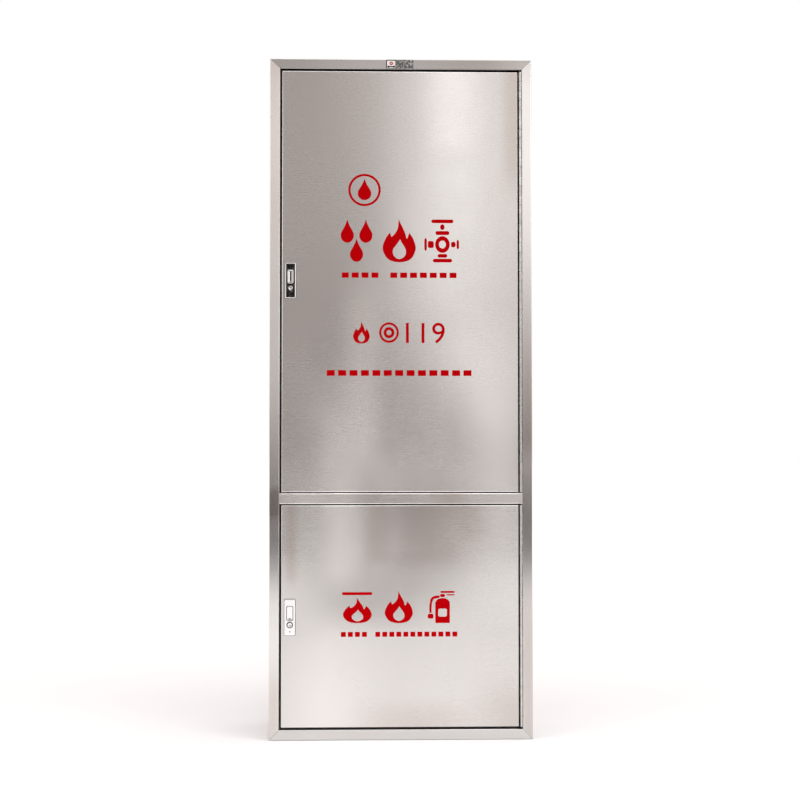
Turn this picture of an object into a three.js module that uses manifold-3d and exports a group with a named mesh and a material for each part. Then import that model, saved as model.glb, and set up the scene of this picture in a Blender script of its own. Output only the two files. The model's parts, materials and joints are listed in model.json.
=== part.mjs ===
// Standpipe cabinet: a stainless steel wall cabinet with an upper compartment for the landing valve,
// the hose reel, the lay-flat hose and its branchpipe, and a lower one for two extinguishers.
// Millimetres. X runs to the right, Y to the back, Z up. The origin is under the middle of the
// cabinet, on the floor.
import * as THREE from "three";
import { mergeVertices } from "three/addons/utils/BufferGeometryUtils.js";
import Module from "manifold-3d";

const wasm = await Module();
wasm.setup();

// ---------------------------------------------------------------- driving dimensions
const WIDTH = 695;
const HEIGHT = 1800;
const BODY_DEPTH = 240; // face of the front frame to the back of the cabinet
const SHEET = 1.2; // carcass and door sheet
const FRAME_SHEET = 1.5;
const FIT = 0.3; // clearance kept between neighbouring pieces

const FLANGE = 27; // face width of the front frame
const OUTER_RETURN = 18; // frame fold that runs back along the sides
const INNER_RETURN = 24; // frame fold that forms the door rebate
const STOP_LIP = 12; // last fold, which the door closes against

const RAIL_LOW = 618; // bottom and top of the rail between the doors
const RAIL_HIGH = 646.3;
const SHELF_Z = 640;

const BARREL_R = 3; // piano hinge
const BORE_R = 1.6;
const PIN_R = 1.4;
const KNUCKLE_PITCH = 84;
const LEAF = 1;
const LEAF_DEPTH = 17;

const DOOR_LEFT = -316;
const DOOR_RIGHT = 311.3;
const DOOR_RECESS = 1; // door face behind the frame face
const DOOR_DEPTH = 20;
const DOOR_LIP = 14; // inward fold at the back edge of the door
const UPPER_DOOR = { low: 649, high: 1768, lock: 1208.5 };
const LOWER_DOOR = { low: 32.5, high: 615, lock: 321.5 };

const LOCK_X = -292.5;
const LOCK = { width: 28.5, height: 94.5, proud: 2, caseWidth: 24, caseHeight: 84, caseDepth: 18.5 };
const BUTTON = { z: 10, width: 16.9, height: 38.4, depth: 5.6, travel: 4 };
const BOLT = { height: 18, front: 11.5, back: 17, tip: -32, tail: -4, bevel: 5 };
const KEY = { z: -20, r: 7.6, length: 16 };

const VALVE = { x: 215, y: 15, z: 785.3, turn: THREE.MathUtils.degToRad(10) };
const PIPE = { r: 38, bore: 34, z: 715, bend: 60, end: 335.5 };
const WHEEL = { r: 62, rim: 7, spokes: 5 };

const REEL = { z: 1490, r: 240, drum: 90, front: -58.8, rear: 78.5, hose: 222, axle: 16 };
const FEED = { r: 13.4, y: 98, z: 1205, valveX: 305, bend: 45 };
const ROLL = { x: -140, r: 150, eye: 18, front: -38, back: 62 };
const TRAY = { halfWidth: 95, z: 688, wall: 34 };
const NOZZLE = { x: -300, y: 62, z: 1130, length: 345 };
const CALL = { x: 292, z: 1738, side: 86, depth: 38, button: 50 };
const EXTINGUISHER = { x: 130, y: 15, r: 65, hose: 9 };
const LEVER = { x: -12, z: 460, slope: THREE.MathUtils.degToRad(10) };

// ---------------------------------------------------------------- places worked out from them
const Y_BACK = (BODY_DEPTH + BARREL_R) / 2; // the hinge barrels stand proud of the frame by their radius
const Y_FRONT = Y_BACK - BODY_DEPTH;
const BACK_INSIDE = Y_BACK - SHEET;
const OPENING_X = WIDTH / 2 - FLANGE;
const HINGE_X = OPENING_X - BARREL_R - FIT;
const CARCASS_FRONT = Y_FRONT + OUTER_RETURN + FIT;
const SHELF_FRONT = Y_FRONT + INNER_RETURN + FIT;

// ---------------------------------------------------------------- materials
const metal = (color, roughness) => new THREE.MeshStandardMaterial({ color, roughness, metalness: 1 });
const matt = (color, roughness) => new THREE.MeshStandardMaterial({ color, roughness, metalness: 0 });
const stainless = metal(0xc9c4bf, 0.35);
const galvanised = metal(0xb4b7b8, 0.5);
const chrome = metal(0xe8e8e8, 0.08);
const aluminium = metal(0xc2c4c6, 0.35);
const brass = metal(0xc8a04a, 0.3);
const redPaint = matt(0xb5141a, 0.35);
const rubber = matt(0x1b1b1c, 0.75);
const hoseFabric = matt(0xe6e2d6, 0.9);
const labelFilm = matt(0x9c9c9a, 0.5);
const redPlastic = matt(0xc4161c, 0.4);
const whitePlastic = matt(0xe9e8e4, 0.4);

// ---------------------------------------------------------------- geometry helpers
function box(x0, x1, y0, y1, z0, z1) {
  const g = new THREE.BoxGeometry(x1 - x0, y1 - y0, z1 - z0);
  return g.translate((x0 + x1) / 2, (y0 + y1) / 2, (z0 + z1) / 2);
}

// A profile of [radius, height] points turned about Z. It starts and ends on the axis, or closes on itself.
function turned(profile, segments = 24) {
  const points = profile.map(([r, h]) => new THREE.Vector2(r, h));
  return new THREE.LatheGeometry(points, segments).rotateX(Math.PI / 2);
}

function ring(inner, outer, low, high, segments = 24) {
  return turned([[inner, low], [outer, low], [outer, high], [inner, high], [inner, low]], segments);
}

function disc(r, low, high, segments = 24) {
  return turned([[0, low], [r, low], [r, high], [0, high]], segments);
}

const alongY = (g) => g.rotateX(-Math.PI / 2); // Z to +Y
const alongX = (g) => g.rotateY(Math.PI / 2); // Z to +X

function prism(outline, depth) {
  const shape = new THREE.Shape(outline.map(([u, v]) => new THREE.Vector2(u, v)));
  return new THREE.ExtrudeGeometry(shape, { depth, bevelEnabled: false });
}

function circle(r, segments) {
  return Array.from({ length: segments }, (_, i) => {
    const a = (2 * Math.PI * i) / segments;
    return new THREE.Vector2(r * Math.cos(a), r * Math.sin(a));
  });
}

function pipe(path, r, bore, sides, steps) {
  const shape = new THREE.Shape(circle(r, sides));
  if (bore) shape.holes.push(new THREE.Path(circle(bore, sides).reverse()));
  return new THREE.ExtrudeGeometry(shape, { extrudePath: path, steps, bevelEnabled: false });
}

// A path of straight runs through corners, each corner rounded.
function roundedPath(corners, radius) {
  const path = new THREE.CurvePath();
  let from = corners[0];
  corners.slice(1, -1).forEach((corner, i) => {
    const enter = corner.clone().add(corners[i].clone().sub(corner).setLength(radius));
    const leave = corner.clone().add(corners[i + 2].clone().sub(corner).setLength(radius));
    path.add(new THREE.LineCurve3(from, enter));
    path.add(new THREE.QuadraticBezierCurve3(enter, corner, leave));
    from = leave;
  });
  path.add(new THREE.LineCurve3(from, corners.at(-1)));
  return path;
}

function solid(geometry) {
  const g = geometry.clone();
  g.deleteAttribute("normal");
  g.deleteAttribute("uv");
  const merged = mergeVertices(g, 1e-3);
  return new wasm.Manifold(new wasm.Mesh({
    numProp: 3,
    vertProperties: merged.attributes.position.array,
    triVerts: new Uint32Array(merged.index.array),
  }));
}

function geometryOf(manifold) {
  const mesh = manifold.getMesh();
  const g = new THREE.BufferGeometry();
  g.setAttribute("position", new THREE.BufferAttribute(mesh.vertProperties, 3));
  g.setIndex(new THREE.BufferAttribute(mesh.triVerts, 1));
  g.computeVertexNormals();
  return g;
}

const join = (...pieces) => geometryOf(pieces.map(solid).reduce((a, b) => a.add(b)));
const cut = (piece, ...tools) => geometryOf(tools.map(solid).reduce((a, b) => a.subtract(b), solid(piece)));

// ---------------------------------------------------------------- scene helpers
const cabinet = new THREE.Group();

function add(name, geometry, material, parent = cabinet, x = 0, y = 0, z = 0) {
  const mesh = new THREE.Mesh(geometry, material);
  mesh.name = name;
  mesh.position.set(x, y, z);
  parent.add(mesh);
  return mesh;
}

function group(x, y, z, parent = cabinet) {
  const made = new THREE.Group();
  made.position.set(x, y, z);
  parent.add(made);
  return made;
}

// ---------------------------------------------------------------- carcass
function addCarcass() {
  const x = WIDTH / 2;
  const rear = BACK_INSIDE - FIT;
  const hole = (r, px, pz) => alongY(disc(r, -5, 5, 16)).translate(px, BACK_INSIDE, pz);
  const fixings = [-1, 1].flatMap((side) => [250, 1550].map((z) => hole(6, side * 250, z)));
  add("back_panel", cut(box(-x, x, BACK_INSIDE, Y_BACK, 0, HEIGHT), ...fixings), stainless);
  const left = box(-x, SHEET - x, CARCASS_FRONT, rear, SHEET + FIT, HEIGHT - SHEET - FIT);
  add("left_side_panel", left, stainless);

  const right = box(x - SHEET, x, CARCASS_FRONT, rear, SHEET + FIT, HEIGHT - SHEET - FIT);
  const gap = PIPE.r + 4;
  const riserHole = box(x - 5, x + 5, VALVE.y - gap, VALVE.y + gap, PIPE.z - gap, PIPE.z + gap);
  const feedHole = alongX(disc(18, -5, 5, 20)).translate(x, FEED.y, FEED.z);
  add("right_side_panel", cut(right, riserHole, feedHole), stainless);
  add("top_panel", box(-x, x, CARCASS_FRONT, rear, HEIGHT - SHEET, HEIGHT), stainless);
  add("bottom_panel", box(-x, x, CARCASS_FRONT, rear, 0, SHEET), stainless);

  const inside = x - SHEET - FIT;
  const shelf = join(
    box(-inside, inside, SHELF_FRONT, rear, SHELF_Z, SHELF_Z + SHEET),
    box(-inside, inside, SHELF_FRONT, SHELF_FRONT + SHEET, SHELF_Z - 18, SHELF_Z + SHEET / 2),
  );
  add("divider_shelf", shelf, stainless);
}

// ---------------------------------------------------------------- front frame
// The folded section: u runs from the outer edge of the frame towards the opening, v from its face
// to the back.
const FRAME_SECTION = [
  [0, 0], [FLANGE, 0], [FLANGE, INNER_RETURN - FRAME_SHEET], [FLANGE + STOP_LIP, INNER_RETURN - FRAME_SHEET],
  [FLANGE + STOP_LIP, INNER_RETURN], [FLANGE - FRAME_SHEET, INNER_RETURN],
  [FLANGE - FRAME_SHEET, FRAME_SHEET],
  [FRAME_SHEET, FRAME_SHEET], [FRAME_SHEET, OUTER_RETURN], [0, OUTER_RETURN],
];

// One member of the frame along local Z, with both ends mitred at 45 degrees.
function frameMember(length) {
  const g = prism(FRAME_SECTION, length);
  const p = g.attributes.position;
  for (let i = 0; i < p.count; i++) {
    const mitre = p.getX(i) + FIT / 2;
    p.setZ(i, p.getZ(i) < length / 2 ? mitre : length - mitre);
  }
  return g;
}

function addFrame() {
  const x = WIDTH / 2;
  const place = (g) => g.translate(-x, Y_FRONT, 0);
  const slots = [UPPER_DOOR, LOWER_DOOR].map(({ lock }) => box(
    -OPENING_X - 2 * FRAME_SHEET, FRAME_SHEET - OPENING_X,
    Y_FRONT + DOOR_RECESS + BOLT.front - 1, Y_FRONT + DOOR_RECESS + BOLT.back + 1.5,
    lock + BUTTON.z - BOLT.height / 2 - 2, lock + BUTTON.z + BOLT.height / 2 + 2,
  ));
  add("frame_left_stile", cut(place(frameMember(HEIGHT)), ...slots), stainless);

  const right = add("frame_right_stile", frameMember(HEIGHT), stainless, cabinet, x, Y_FRONT, 0);
  right.scale.x = -1;

  // A rail is a member whose length runs along X: local Z to +X, local X to the inside of the opening.
  const bottom = add("frame_bottom_rail", frameMember(WIDTH), stainless, cabinet, -x, Y_FRONT, 0);
  bottom.matrixAutoUpdate = false;
  bottom.matrix.set(0, 0, 1, -x, 0, 1, 0, Y_FRONT, 1, 0, 0, 0, 0, 0, 0, 1);
  const top = add("frame_top_rail", frameMember(WIDTH), stainless, cabinet, -x, Y_FRONT, HEIGHT);
  top.matrixAutoUpdate = false;
  top.matrix.set(0, 0, 1, -x, 0, 1, 0, Y_FRONT, -1, 0, 0, HEIGHT, 0, 0, 0, 1);

  // Hat section between the doors. Its ends are notched round the stop lips of the stiles.
  const half = OPENING_X - FIT;
  const clear = OPENING_X - STOP_LIP - FIT;
  const back = Y_FRONT + INNER_RETURN;
  const lipFront = back - FRAME_SHEET;
  const rail = cut(
    join(
      box(-half, half, Y_FRONT, back, RAIL_LOW, RAIL_HIGH),
      box(-clear, clear, lipFront, back, RAIL_LOW - STOP_LIP, RAIL_HIGH + STOP_LIP),
    ),
    box(-WIDTH, WIDTH, Y_FRONT + FRAME_SHEET, back + 1, RAIL_LOW + FRAME_SHEET, RAIL_HIGH - FRAME_SHEET),
    box(-WIDTH, -clear, lipFront - FIT, back + 1, RAIL_LOW - 1, RAIL_HIGH + 1),
    box(clear, WIDTH, lipFront - FIT, back + 1, RAIL_LOW - 1, RAIL_HIGH + 1),
  );
  add("frame_mid_rail", rail, stainless);
  add("inspection_label", box(-40, 33, Y_FRONT - 0.7, Y_FRONT - FIT, HEIGHT - 25.5, HEIGHT - 1.5), labelFilm);
}

// ---------------------------------------------------------------- piano hinges
// One leaf about the hinge axis, from z = 0 up. The frame leaf takes the even knuckles, the door
// leaf the odd ones.
function hingeLeaf(height, parity, plate, web) {
  const count = Math.round(height / KNUCKLE_PITCH);
  const pitch = height / count;
  const pieces = [plate];
  for (let i = parity; i < count; i += 2) {
    const low = i * pitch + FIT;
    const high = (i + 1) * pitch - FIT;
    pieces.push(ring(BORE_R, BARREL_R, low, high, 10), web(low, high));
  }
  return join(...pieces);
}

function addHinge(prefix, door, doorGroup) {
  const height = door.high - door.low;
  const frameX = BARREL_R - LEAF - 0.1;
  const doorX = DOOR_RIGHT - HINGE_X + FIT;
  const behind = BARREL_R + 2 * FIT;
  const frameLeaf = hingeLeaf(
    height, 0,
    box(frameX, frameX + LEAF, behind, behind + LEAF_DEPTH, 0, height),
    (low, high) => box(frameX, frameX + LEAF, 0, behind + 1, low, high),
  );
  const doorLeaf = hingeLeaf(
    height, 1,
    box(doorX, doorX + LEAF, behind, behind + LEAF_DEPTH - 2, 0, height),
    (low, high) => join(
      box(doorX, -1, BORE_R, BARREL_R - 0.2, low, high),
      box(doorX, doorX + LEAF, BORE_R, behind + 1, low, high),
    ),
  );
  add(prefix + "_hinge_frame_leaf", frameLeaf, stainless, cabinet, HINGE_X, Y_FRONT, door.low);
  add(prefix + "_hinge_pin", disc(PIN_R, 0, height, 12), stainless, cabinet, HINGE_X, Y_FRONT, door.low);
  add(prefix + "_hinge_door_leaf", doorLeaf, stainless, doorGroup);
}

// ---------------------------------------------------------------- doors
// The door group's origin is on its hinge axis, at the bottom of the door.
function addDoor(prefix, door) {
  const doorGroup = group(HINGE_X, Y_FRONT, door.low);
  const height = door.high - door.low;
  const left = DOOR_LEFT - HINGE_X;
  const right = DOOR_RIGHT - HINGE_X;
  const face = DOOR_RECESS;
  const back = face + DOOR_DEPTH;
  const lockX = LOCK_X - HINGE_X;
  const lockZ = door.lock - door.low;
  const boltZ = lockZ + BUTTON.z;
  const panel = cut(
    box(left, right, face, back, 0, height),
    box(left + SHEET, right - SHEET, face + SHEET, back - SHEET, SHEET, height - SHEET),
    box(left + DOOR_LIP, right - DOOR_LIP, face + SHEET, back + 1, DOOR_LIP, height - DOOR_LIP),
    box(
      lockX - LOCK.caseWidth / 2 - FIT, lockX + LOCK.caseWidth / 2 + FIT, face - 1, face + 2 * SHEET,
      lockZ - LOCK.caseHeight / 2 - FIT, lockZ + LOCK.caseHeight / 2 + FIT,
    ),
    box(
      left - 1, left + 2 * SHEET, face + BOLT.front - 0.5, face + BOLT.back + 0.5,
      boltZ - BOLT.height / 2 - 0.5, boltZ + BOLT.height / 2 + 0.5,
    ),
    box(
      left + 2 * SHEET, left + DOOR_LIP + 1, back - 2 * SHEET, back + 1,
      lockZ - LOCK.height / 2 - 4, lockZ + LOCK.height / 2 + 4,
    ),
  );
  add(prefix + "_door_panel", panel, stainless, doorGroup);

  const middle = (left + right) / 2;
  const hat = join(
    cut(
      box(middle - 32, middle + 32, face + SHEET + FIT, back, 30, height - 30),
      box(middle - 32 + SHEET, middle + 32 - SHEET, face, back - SHEET, 29, height - 29),
    ),
    box(middle - 46, middle - 31, face + SHEET + FIT, face + 2 * SHEET + FIT, 30, height - 30),
    box(middle + 31, middle + 46, face + SHEET + FIT, face + 2 * SHEET + FIT, 30, height - 30),
  );
  add(prefix + "_door_stiffener", hat, stainless, doorGroup);
  addHinge(prefix, door, doorGroup);
  addLock(prefix, group(lockX, face, lockZ, doorGroup));
}

// ---------------------------------------------------------------- door locks
// Rounded rectangle in X and Z, from y = front to y = back.
function roundedPlate(width, height, radius, front, back, z = 0) {
  const w = width / 2;
  const h = height / 2;
  const shape = new THREE.Shape();
  shape.moveTo(-w + radius, -h);
  shape.lineTo(w - radius, -h);
  shape.absarc(w - radius, -h + radius, radius, -Math.PI / 2, 0);
  shape.absarc(w - radius, h - radius, radius, 0, Math.PI / 2);
  shape.absarc(-w + radius, h - radius, radius, Math.PI / 2, Math.PI);
  shape.absarc(-w + radius, -h + radius, radius, Math.PI, 1.5 * Math.PI);
  const g = new THREE.ExtrudeGeometry(shape, { depth: back - front, bevelEnabled: false, curveSegments: 3 });
  return g.rotateX(Math.PI / 2).translate(0, back, z);
}

function addLock(prefix, lock) {
  const w = LOCK.caseWidth / 2;
  const h = LOCK.caseHeight / 2;
  const channel = BUTTON.z + BOLT.height / 2;
  const housing = cut(
    join(
      roundedPlate(LOCK.width, LOCK.height, 3, -LOCK.proud, -FIT),
      box(-w, w, -FIT - 0.5, LOCK.caseDepth, -h, h),
    ),
    box(
      -BUTTON.width / 2 - FIT, BUTTON.width / 2 + FIT, -LOCK.proud - 1, BUTTON.depth + BUTTON.travel,
      BUTTON.z - BUTTON.height / 2 - FIT, BUTTON.z + BUTTON.height / 2 + FIT,
    ),
    box(-w - 1, w - 2, BOLT.front - FIT, BOLT.back + FIT, channel - BOLT.height - FIT, channel + FIT),
    alongY(disc(KEY.r + FIT, -5, KEY.length, 20)).translate(0, 0, KEY.z),
  );
  add(prefix + "_lock_case", housing, chrome, lock);

  const button = roundedPlate(BUTTON.width, BUTTON.height, 4, -LOCK.proud - 0.6, BUTTON.depth - 2, BUTTON.z);
  add(prefix + "_lock_button", button, chrome, lock);

  const nose = prism([
    [BOLT.tip, BOLT.front], [BOLT.tail, BOLT.front], [BOLT.tail, BOLT.back],
    [BOLT.tip + BOLT.bevel, BOLT.back],
  ], BOLT.height);
  add(prefix + "_lock_bolt", nose, chrome, lock, 0, 0, BUTTON.z - BOLT.height / 2);

  const cylinder = cut(
    alongY(disc(KEY.r, -LOCK.proud - 0.4, KEY.length - LOCK.proud, 20)),
    box(-0.9, 0.9, -LOCK.proud - 1, 4, -4.2, 4.2),
  );
  add(prefix + "_lock_cylinder", cylinder, chrome, lock, 0, 0, KEY.z);
}

// ---------------------------------------------------------------- landing valve and its pipe
function addValve() {
  const run = roundedPath([
    new THREE.Vector3(PIPE.end, 0, 0),
    new THREE.Vector3(VALVE.x, 0, 0),
    new THREE.Vector3(VALVE.x, 0, VALVE.z - PIPE.z - FIT),
  ], PIPE.bend);
  add("inlet_elbow", pipe(run, PIPE.r - FIT, PIPE.bore, 14, 11), galvanised, cabinet, 0, VALVE.y, PIPE.z);

  const valve = group(VALVE.x, VALVE.y, VALVE.z);
  valve.rotation.z = VALVE.turn;
  const body = join(
    turned([
      [0, 0], [45, 0], [45, 20], [38, 26], [50, 42], [56, 62], [50, 84], [40, 98],
      [46, 101], [46, 112], [0, 112],
    ], 20),
    alongX(disc(36, -96, 0, 20)).translate(0, 0, 62),
    alongX(disc(44, -72, -60, 8)).translate(0, 0, 62),
  );
  add("valve_body", body, redPaint, valve);

  const bonnet = turned([
    [9.3, 0], [46, 0], [46, 10], [26, 14], [22, 38], [16, 42], [16, 52], [9.3, 52], [9.3, 0],
  ], 20);
  add("valve_bonnet", bonnet, redPaint, valve, 0, 0, 112 + FIT);
  add("valve_stem", turned([[0, 0], [9, 0], [9, 60], [6, 62], [6, 88], [0, 88]], 12), brass, valve, 0, 0, 114);

  const rim = new THREE.TorusGeometry(WHEEL.r, WHEEL.rim, 7, 25);
  const spokes = Array.from({ length: WHEEL.spokes }, (_, i) =>
    box(12, WHEEL.r, -4, 4, -3, 3).rotateZ((2 * Math.PI * i) / WHEEL.spokes));
  const wheel = join(rim, ...spokes, ring(6.4, 16, -9, 10, 16));
  add("valve_handwheel", wheel, redPaint, valve, 0, 0, 114 + 62 + 10);

  const coupling = join(
    alongX(turned([
      [30, -140], [42, -140], [42, -132], [49, -130], [49, -112], [44, -110],
      [44, -96.3], [30, -96.3], [30, -140],
    ], 24)),
    box(-146, -134, -8, 8, 36, 46),
    box(-146, -134, -8, 8, -46, -36),
  );
  add("outlet_coupling", coupling, aluminium, valve, 0, 0, 62);
}

// ---------------------------------------------------------------- hose reel
function addReel() {
  const reel = group(0, 0, REEL.z);
  const bore = REEL.axle + 0.5;
  const rear = REEL.rear - 2.5;
  const drumFront = REEL.front + 2.5 + FIT;
  const spool = alongY(turned([
    [bore, drumFront], [bore + 8, drumFront], [bore + 8, 60], [REEL.drum - 6, 60], [REEL.drum - 6, drumFront],
    [REEL.drum, drumFront], [REEL.drum, rear], [REEL.r - 2, rear], [REEL.r - 2, rear - 6], [REEL.r, rear - 6],
    [REEL.r, REEL.rear], [REEL.drum - 6, REEL.rear], [REEL.drum - 6, 64], [bore, 64], [bore, drumFront],
  ], 30));
  add("reel_spool", spool, redPaint, reel);

  const front = REEL.front;
  const disk = alongY(turned([
    [bore, front], [REEL.r, front], [REEL.r, front + 8], [REEL.r - 2, front + 8], [REEL.r - 2, front + 2.5],
    [bore, front + 2.5], [bore, front],
  ], 30));
  const windows = Array.from({ length: 6 }, (_, i) => {
    const a = (Math.PI * i) / 3;
    return alongY(disc(34, -10, 10, 12)).translate(156 * Math.cos(a), front, 156 * Math.sin(a));
  });
  add("reel_front_flange", cut(disk, ...windows), redPaint, reel);
  add("reel_hose", alongY(ring(REEL.drum + FIT, REEL.hose, front + 8.5, rear - 6.5, 30)), rubber, reel);

  const nozzle = alongX(turned([
    [0, -70], [11, -70], [13, -40], [13, 0], [10, 10], [7, 55], [9, 60], [9, 70], [0, 70],
  ], 12)).translate(0, 18, -REEL.hose - 14);
  add("reel_nozzle", nozzle, brass, reel);

  const plateFront = BACK_INSIDE - FIT - 4;
  add("reel_bracket", join(
    box(-70, 70, plateFront, BACK_INSIDE - FIT, -90, 90),
    box(-40, 40, plateFront - 3, BACK_INSIDE - FIT - 1, -40, 40),
  ), galvanised, reel);
  const axleBack = plateFront - 3 - FIT;
  add("reel_axle", alongY(turned([
    [0, front - 12], [14, front - 12], [24, front - 9], [24, front - 1], [REEL.axle, front - 1],
    [REEL.axle, REEL.rear + 1], [26, REEL.rear + 1], [26, axleBack], [0, axleBack],
  ], 20)), galvanised, reel);

  // Feed from the right-hand wall: a quarter-turn valve, then a pipe behind the reel to its axle.
  const x = FEED.valveX;
  add("feed_valve_body", join(
    alongX(disc(17, -37, WIDTH / 2 - x - 0.1, 12)),
    alongX(disc(20.5, -16, 16, 8)),
    alongX(disc(20, -37, -24, 6)),
    alongX(disc(20, 25, 38, 6)),
    alongY(disc(8, -34, 0, 12)),
  ), brass, cabinet, x, FEED.y, FEED.z);
  const lever = join(
    box(-7, 7, -41, -38, -10, 86),
    alongY(disc(11, -41.5, -34 - FIT, 12)),
  );
  add("feed_valve_lever", lever, redPaint, cabinet, x, FEED.y, FEED.z);
  const route = roundedPath([
    new THREE.Vector3(x - 37 - FIT, FEED.y, FEED.z),
    new THREE.Vector3(0, FEED.y, FEED.z),
    new THREE.Vector3(0, FEED.y, REEL.z - 26 - FIT),
  ], FEED.bend);
  add("reel_feed_pipe", pipe(route, FEED.r, 0, 10, 18), galvanised);
}

// ---------------------------------------------------------------- lay-flat hose, tray and branchpipe
function addHoseAndNozzle() {
  const { halfWidth, z, wall } = TRAY;
  const rear = BACK_INSIDE - FIT;
  const front = ROLL.front - 6;
  const tray = join(
    cut(
      box(-halfWidth, halfWidth, front, rear, z, z + wall),
      box(SHEET - halfWidth, halfWidth - SHEET, front + SHEET, rear - SHEET, z + SHEET, z + wall + 1),
    ),
    box(-halfWidth, halfWidth, rear - SHEET, rear, z, z + 80),
  );
  add("hose_tray", tray, stainless, cabinet, ROLL.x);

  const rollZ = z + SHEET + FIT + ROLL.r;
  const roll = join(
    alongY(ring(ROLL.eye, ROLL.r, ROLL.front, ROLL.back, 36)),
    box(ROLL.r - 6, ROLL.r - 1, -20, 44, SHELF_Z + 74 - rollZ, 0),
  );
  add("hose_roll", roll, hoseFabric, cabinet, ROLL.x, 0, rollZ);

  const coupling = join(
    turned([[0, 0], [46, 0], [46, 22], [40, 26], [40, 40], [36, 44], [36, 72], [0, 72]], 24),
    box(34, 48, -9, 9, 4, 16),
    box(-48, -34, -9, 9, 4, 16),
  );
  add("hose_coupling", coupling, aluminium, cabinet, ROLL.x + ROLL.r - 3, 12, SHELF_Z + SHEET + FIT);

  const pipeShape = alongX(turned([
    [28, 0], [45, 0], [45, 26], [38, 32], [32, 60], [30, 110], [16, 280], [14, 320],
    [18, 326], [18, NOZZLE.length],
    [9.5, NOZZLE.length], [9.5, 280], [24, 110], [28, 0],
  ], 20));
  add("branchpipe", pipeShape, aluminium, cabinet, NOZZLE.x, NOZZLE.y, NOZZLE.z);

  const clip = (x, r) => [
    box(x - 10, x + 10, NOZZLE.y - 8, rear - 1, r + 1, r + 3),
    box(x - 10, x + 10, NOZZLE.y - 8, rear - 1, -r - 3, -r - 1),
  ];
  const rack = join(box(60, 300, rear - 3, rear, -42, 42), ...clip(90, 32), ...clip(270, 18));
  add("branchpipe_rack", rack, galvanised, cabinet, NOZZLE.x, 0, NOZZLE.z);
}

// ---------------------------------------------------------------- pump call point
function addCallPoint() {
  const half = CALL.side / 2;
  const b = CALL.button / 2;
  const rear = BACK_INSIDE - FIT;
  const front = rear - CALL.depth;
  const cased = cut(
    box(-half, half, front, rear, -half, half),
    box(-b - FIT, b + FIT, front - 1, front + 8, -b - FIT, b + FIT),
  );
  add("call_point_case", cased, redPlastic, cabinet, CALL.x, 0, CALL.z);
  const button = box(-b, b, front - 1.5, front + 4, -b, b);
  add("call_point_button", button, whitePlastic, cabinet, CALL.x, 0, CALL.z);
}

// ---------------------------------------------------------------- extinguishers
function addExtinguisher(prefix, x) {
  const place = group(x, EXTINGUISHER.y, SHEET + FIT);
  const r = EXTINGUISHER.r;
  const shell = turned([
    [0, 4], [46, 4], [50, 0], [r - 2, 0], [r, 6], [r, 346], [r - 5, 368], [44, 388],
    [24, 400], [20, 403], [20, 418],
    [14, 418], [14, 400], [40, 384], [r - 7, 366], [r - 1.5, 344], [r - 1.5, 8], [0, 8],
  ], 18);
  add(prefix + "_extinguisher_cylinder", shell, redPaint, place);

  const valve = join(
    turned([
      [0, 406], [13.7, 406], [13.7, 418.3], [22, 418.3], [22, 428], [15, 432], [15, 454], [0, 454],
    ], 12),
    alongX(disc(8, -52, 0, 10)).translate(0, 0, 440),
    alongY(disc(13, -24, 0, 12)).translate(0, 0, 441),
    box(8, 100, -9, 9, 435, 438),
    box(-18, -6, -12.5, -9.5, 446, 465),
    box(-18, -6, 9.5, 12.5, 446, 465),
  );
  add(prefix + "_extinguisher_valve", valve, brass, place);
  const lever = box(-3, 106, -9, 9, -1.5, 1.5).rotateY(-LEVER.slope).translate(LEVER.x, 0, LEVER.z);
  add(prefix + "_extinguisher_lever", lever, redPaint, place);

  const hoseX = -r - EXTINGUISHER.hose - 2;
  const route = roundedPath([
    new THREE.Vector3(-52 - FIT, 0, 440),
    new THREE.Vector3(hoseX, 0, 440),
    new THREE.Vector3(hoseX, 0, 130),
  ], 16);
  const hose = join(
    pipe(route, EXTINGUISHER.hose, 0, 8, 14),
    turned([[0, 50], [15, 50], [11, 132], [0, 132]], 12).translate(hoseX - 5, 0, 0),
  );
  add(prefix + "_extinguisher_hose", hose, rubber, place);
}

function addExtinguishers() {
  addExtinguisher("left", -EXTINGUISHER.x);
  addExtinguisher("right", EXTINGUISHER.x);
}

addCarcass();
addFrame();
addDoor("upper", UPPER_DOOR);
addDoor("lower", LOWER_DOOR);
addValve();
addReel();
addHoseAndNozzle();
addCallPoint();
addExtinguishers();

export default cabinet;
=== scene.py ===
"""Looks of the standpipe cabinet. Lengths in the helpers are millimetres; meshes are stored in metres."""
import json
import math

import bmesh
import bpy
from mathutils import Matrix, Vector


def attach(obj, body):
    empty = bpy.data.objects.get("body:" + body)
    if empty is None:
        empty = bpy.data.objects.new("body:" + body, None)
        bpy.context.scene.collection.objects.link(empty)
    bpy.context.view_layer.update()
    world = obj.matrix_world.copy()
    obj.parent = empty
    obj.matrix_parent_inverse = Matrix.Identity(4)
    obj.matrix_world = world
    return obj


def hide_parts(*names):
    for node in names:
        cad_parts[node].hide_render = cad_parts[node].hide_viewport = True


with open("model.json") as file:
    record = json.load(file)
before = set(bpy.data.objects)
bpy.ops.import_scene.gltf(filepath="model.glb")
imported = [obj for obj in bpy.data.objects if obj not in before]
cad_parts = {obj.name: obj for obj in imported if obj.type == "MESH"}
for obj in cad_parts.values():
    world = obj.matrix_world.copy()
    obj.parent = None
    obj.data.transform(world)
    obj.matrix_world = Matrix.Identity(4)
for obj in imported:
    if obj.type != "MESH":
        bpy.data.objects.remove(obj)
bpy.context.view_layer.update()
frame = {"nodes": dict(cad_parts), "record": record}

MM = 0.001
NODES = frame["nodes"]
SLOT_OF = {s["node"]: s["material_slot"] for s in frame["record"]["subparts"]}

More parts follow.
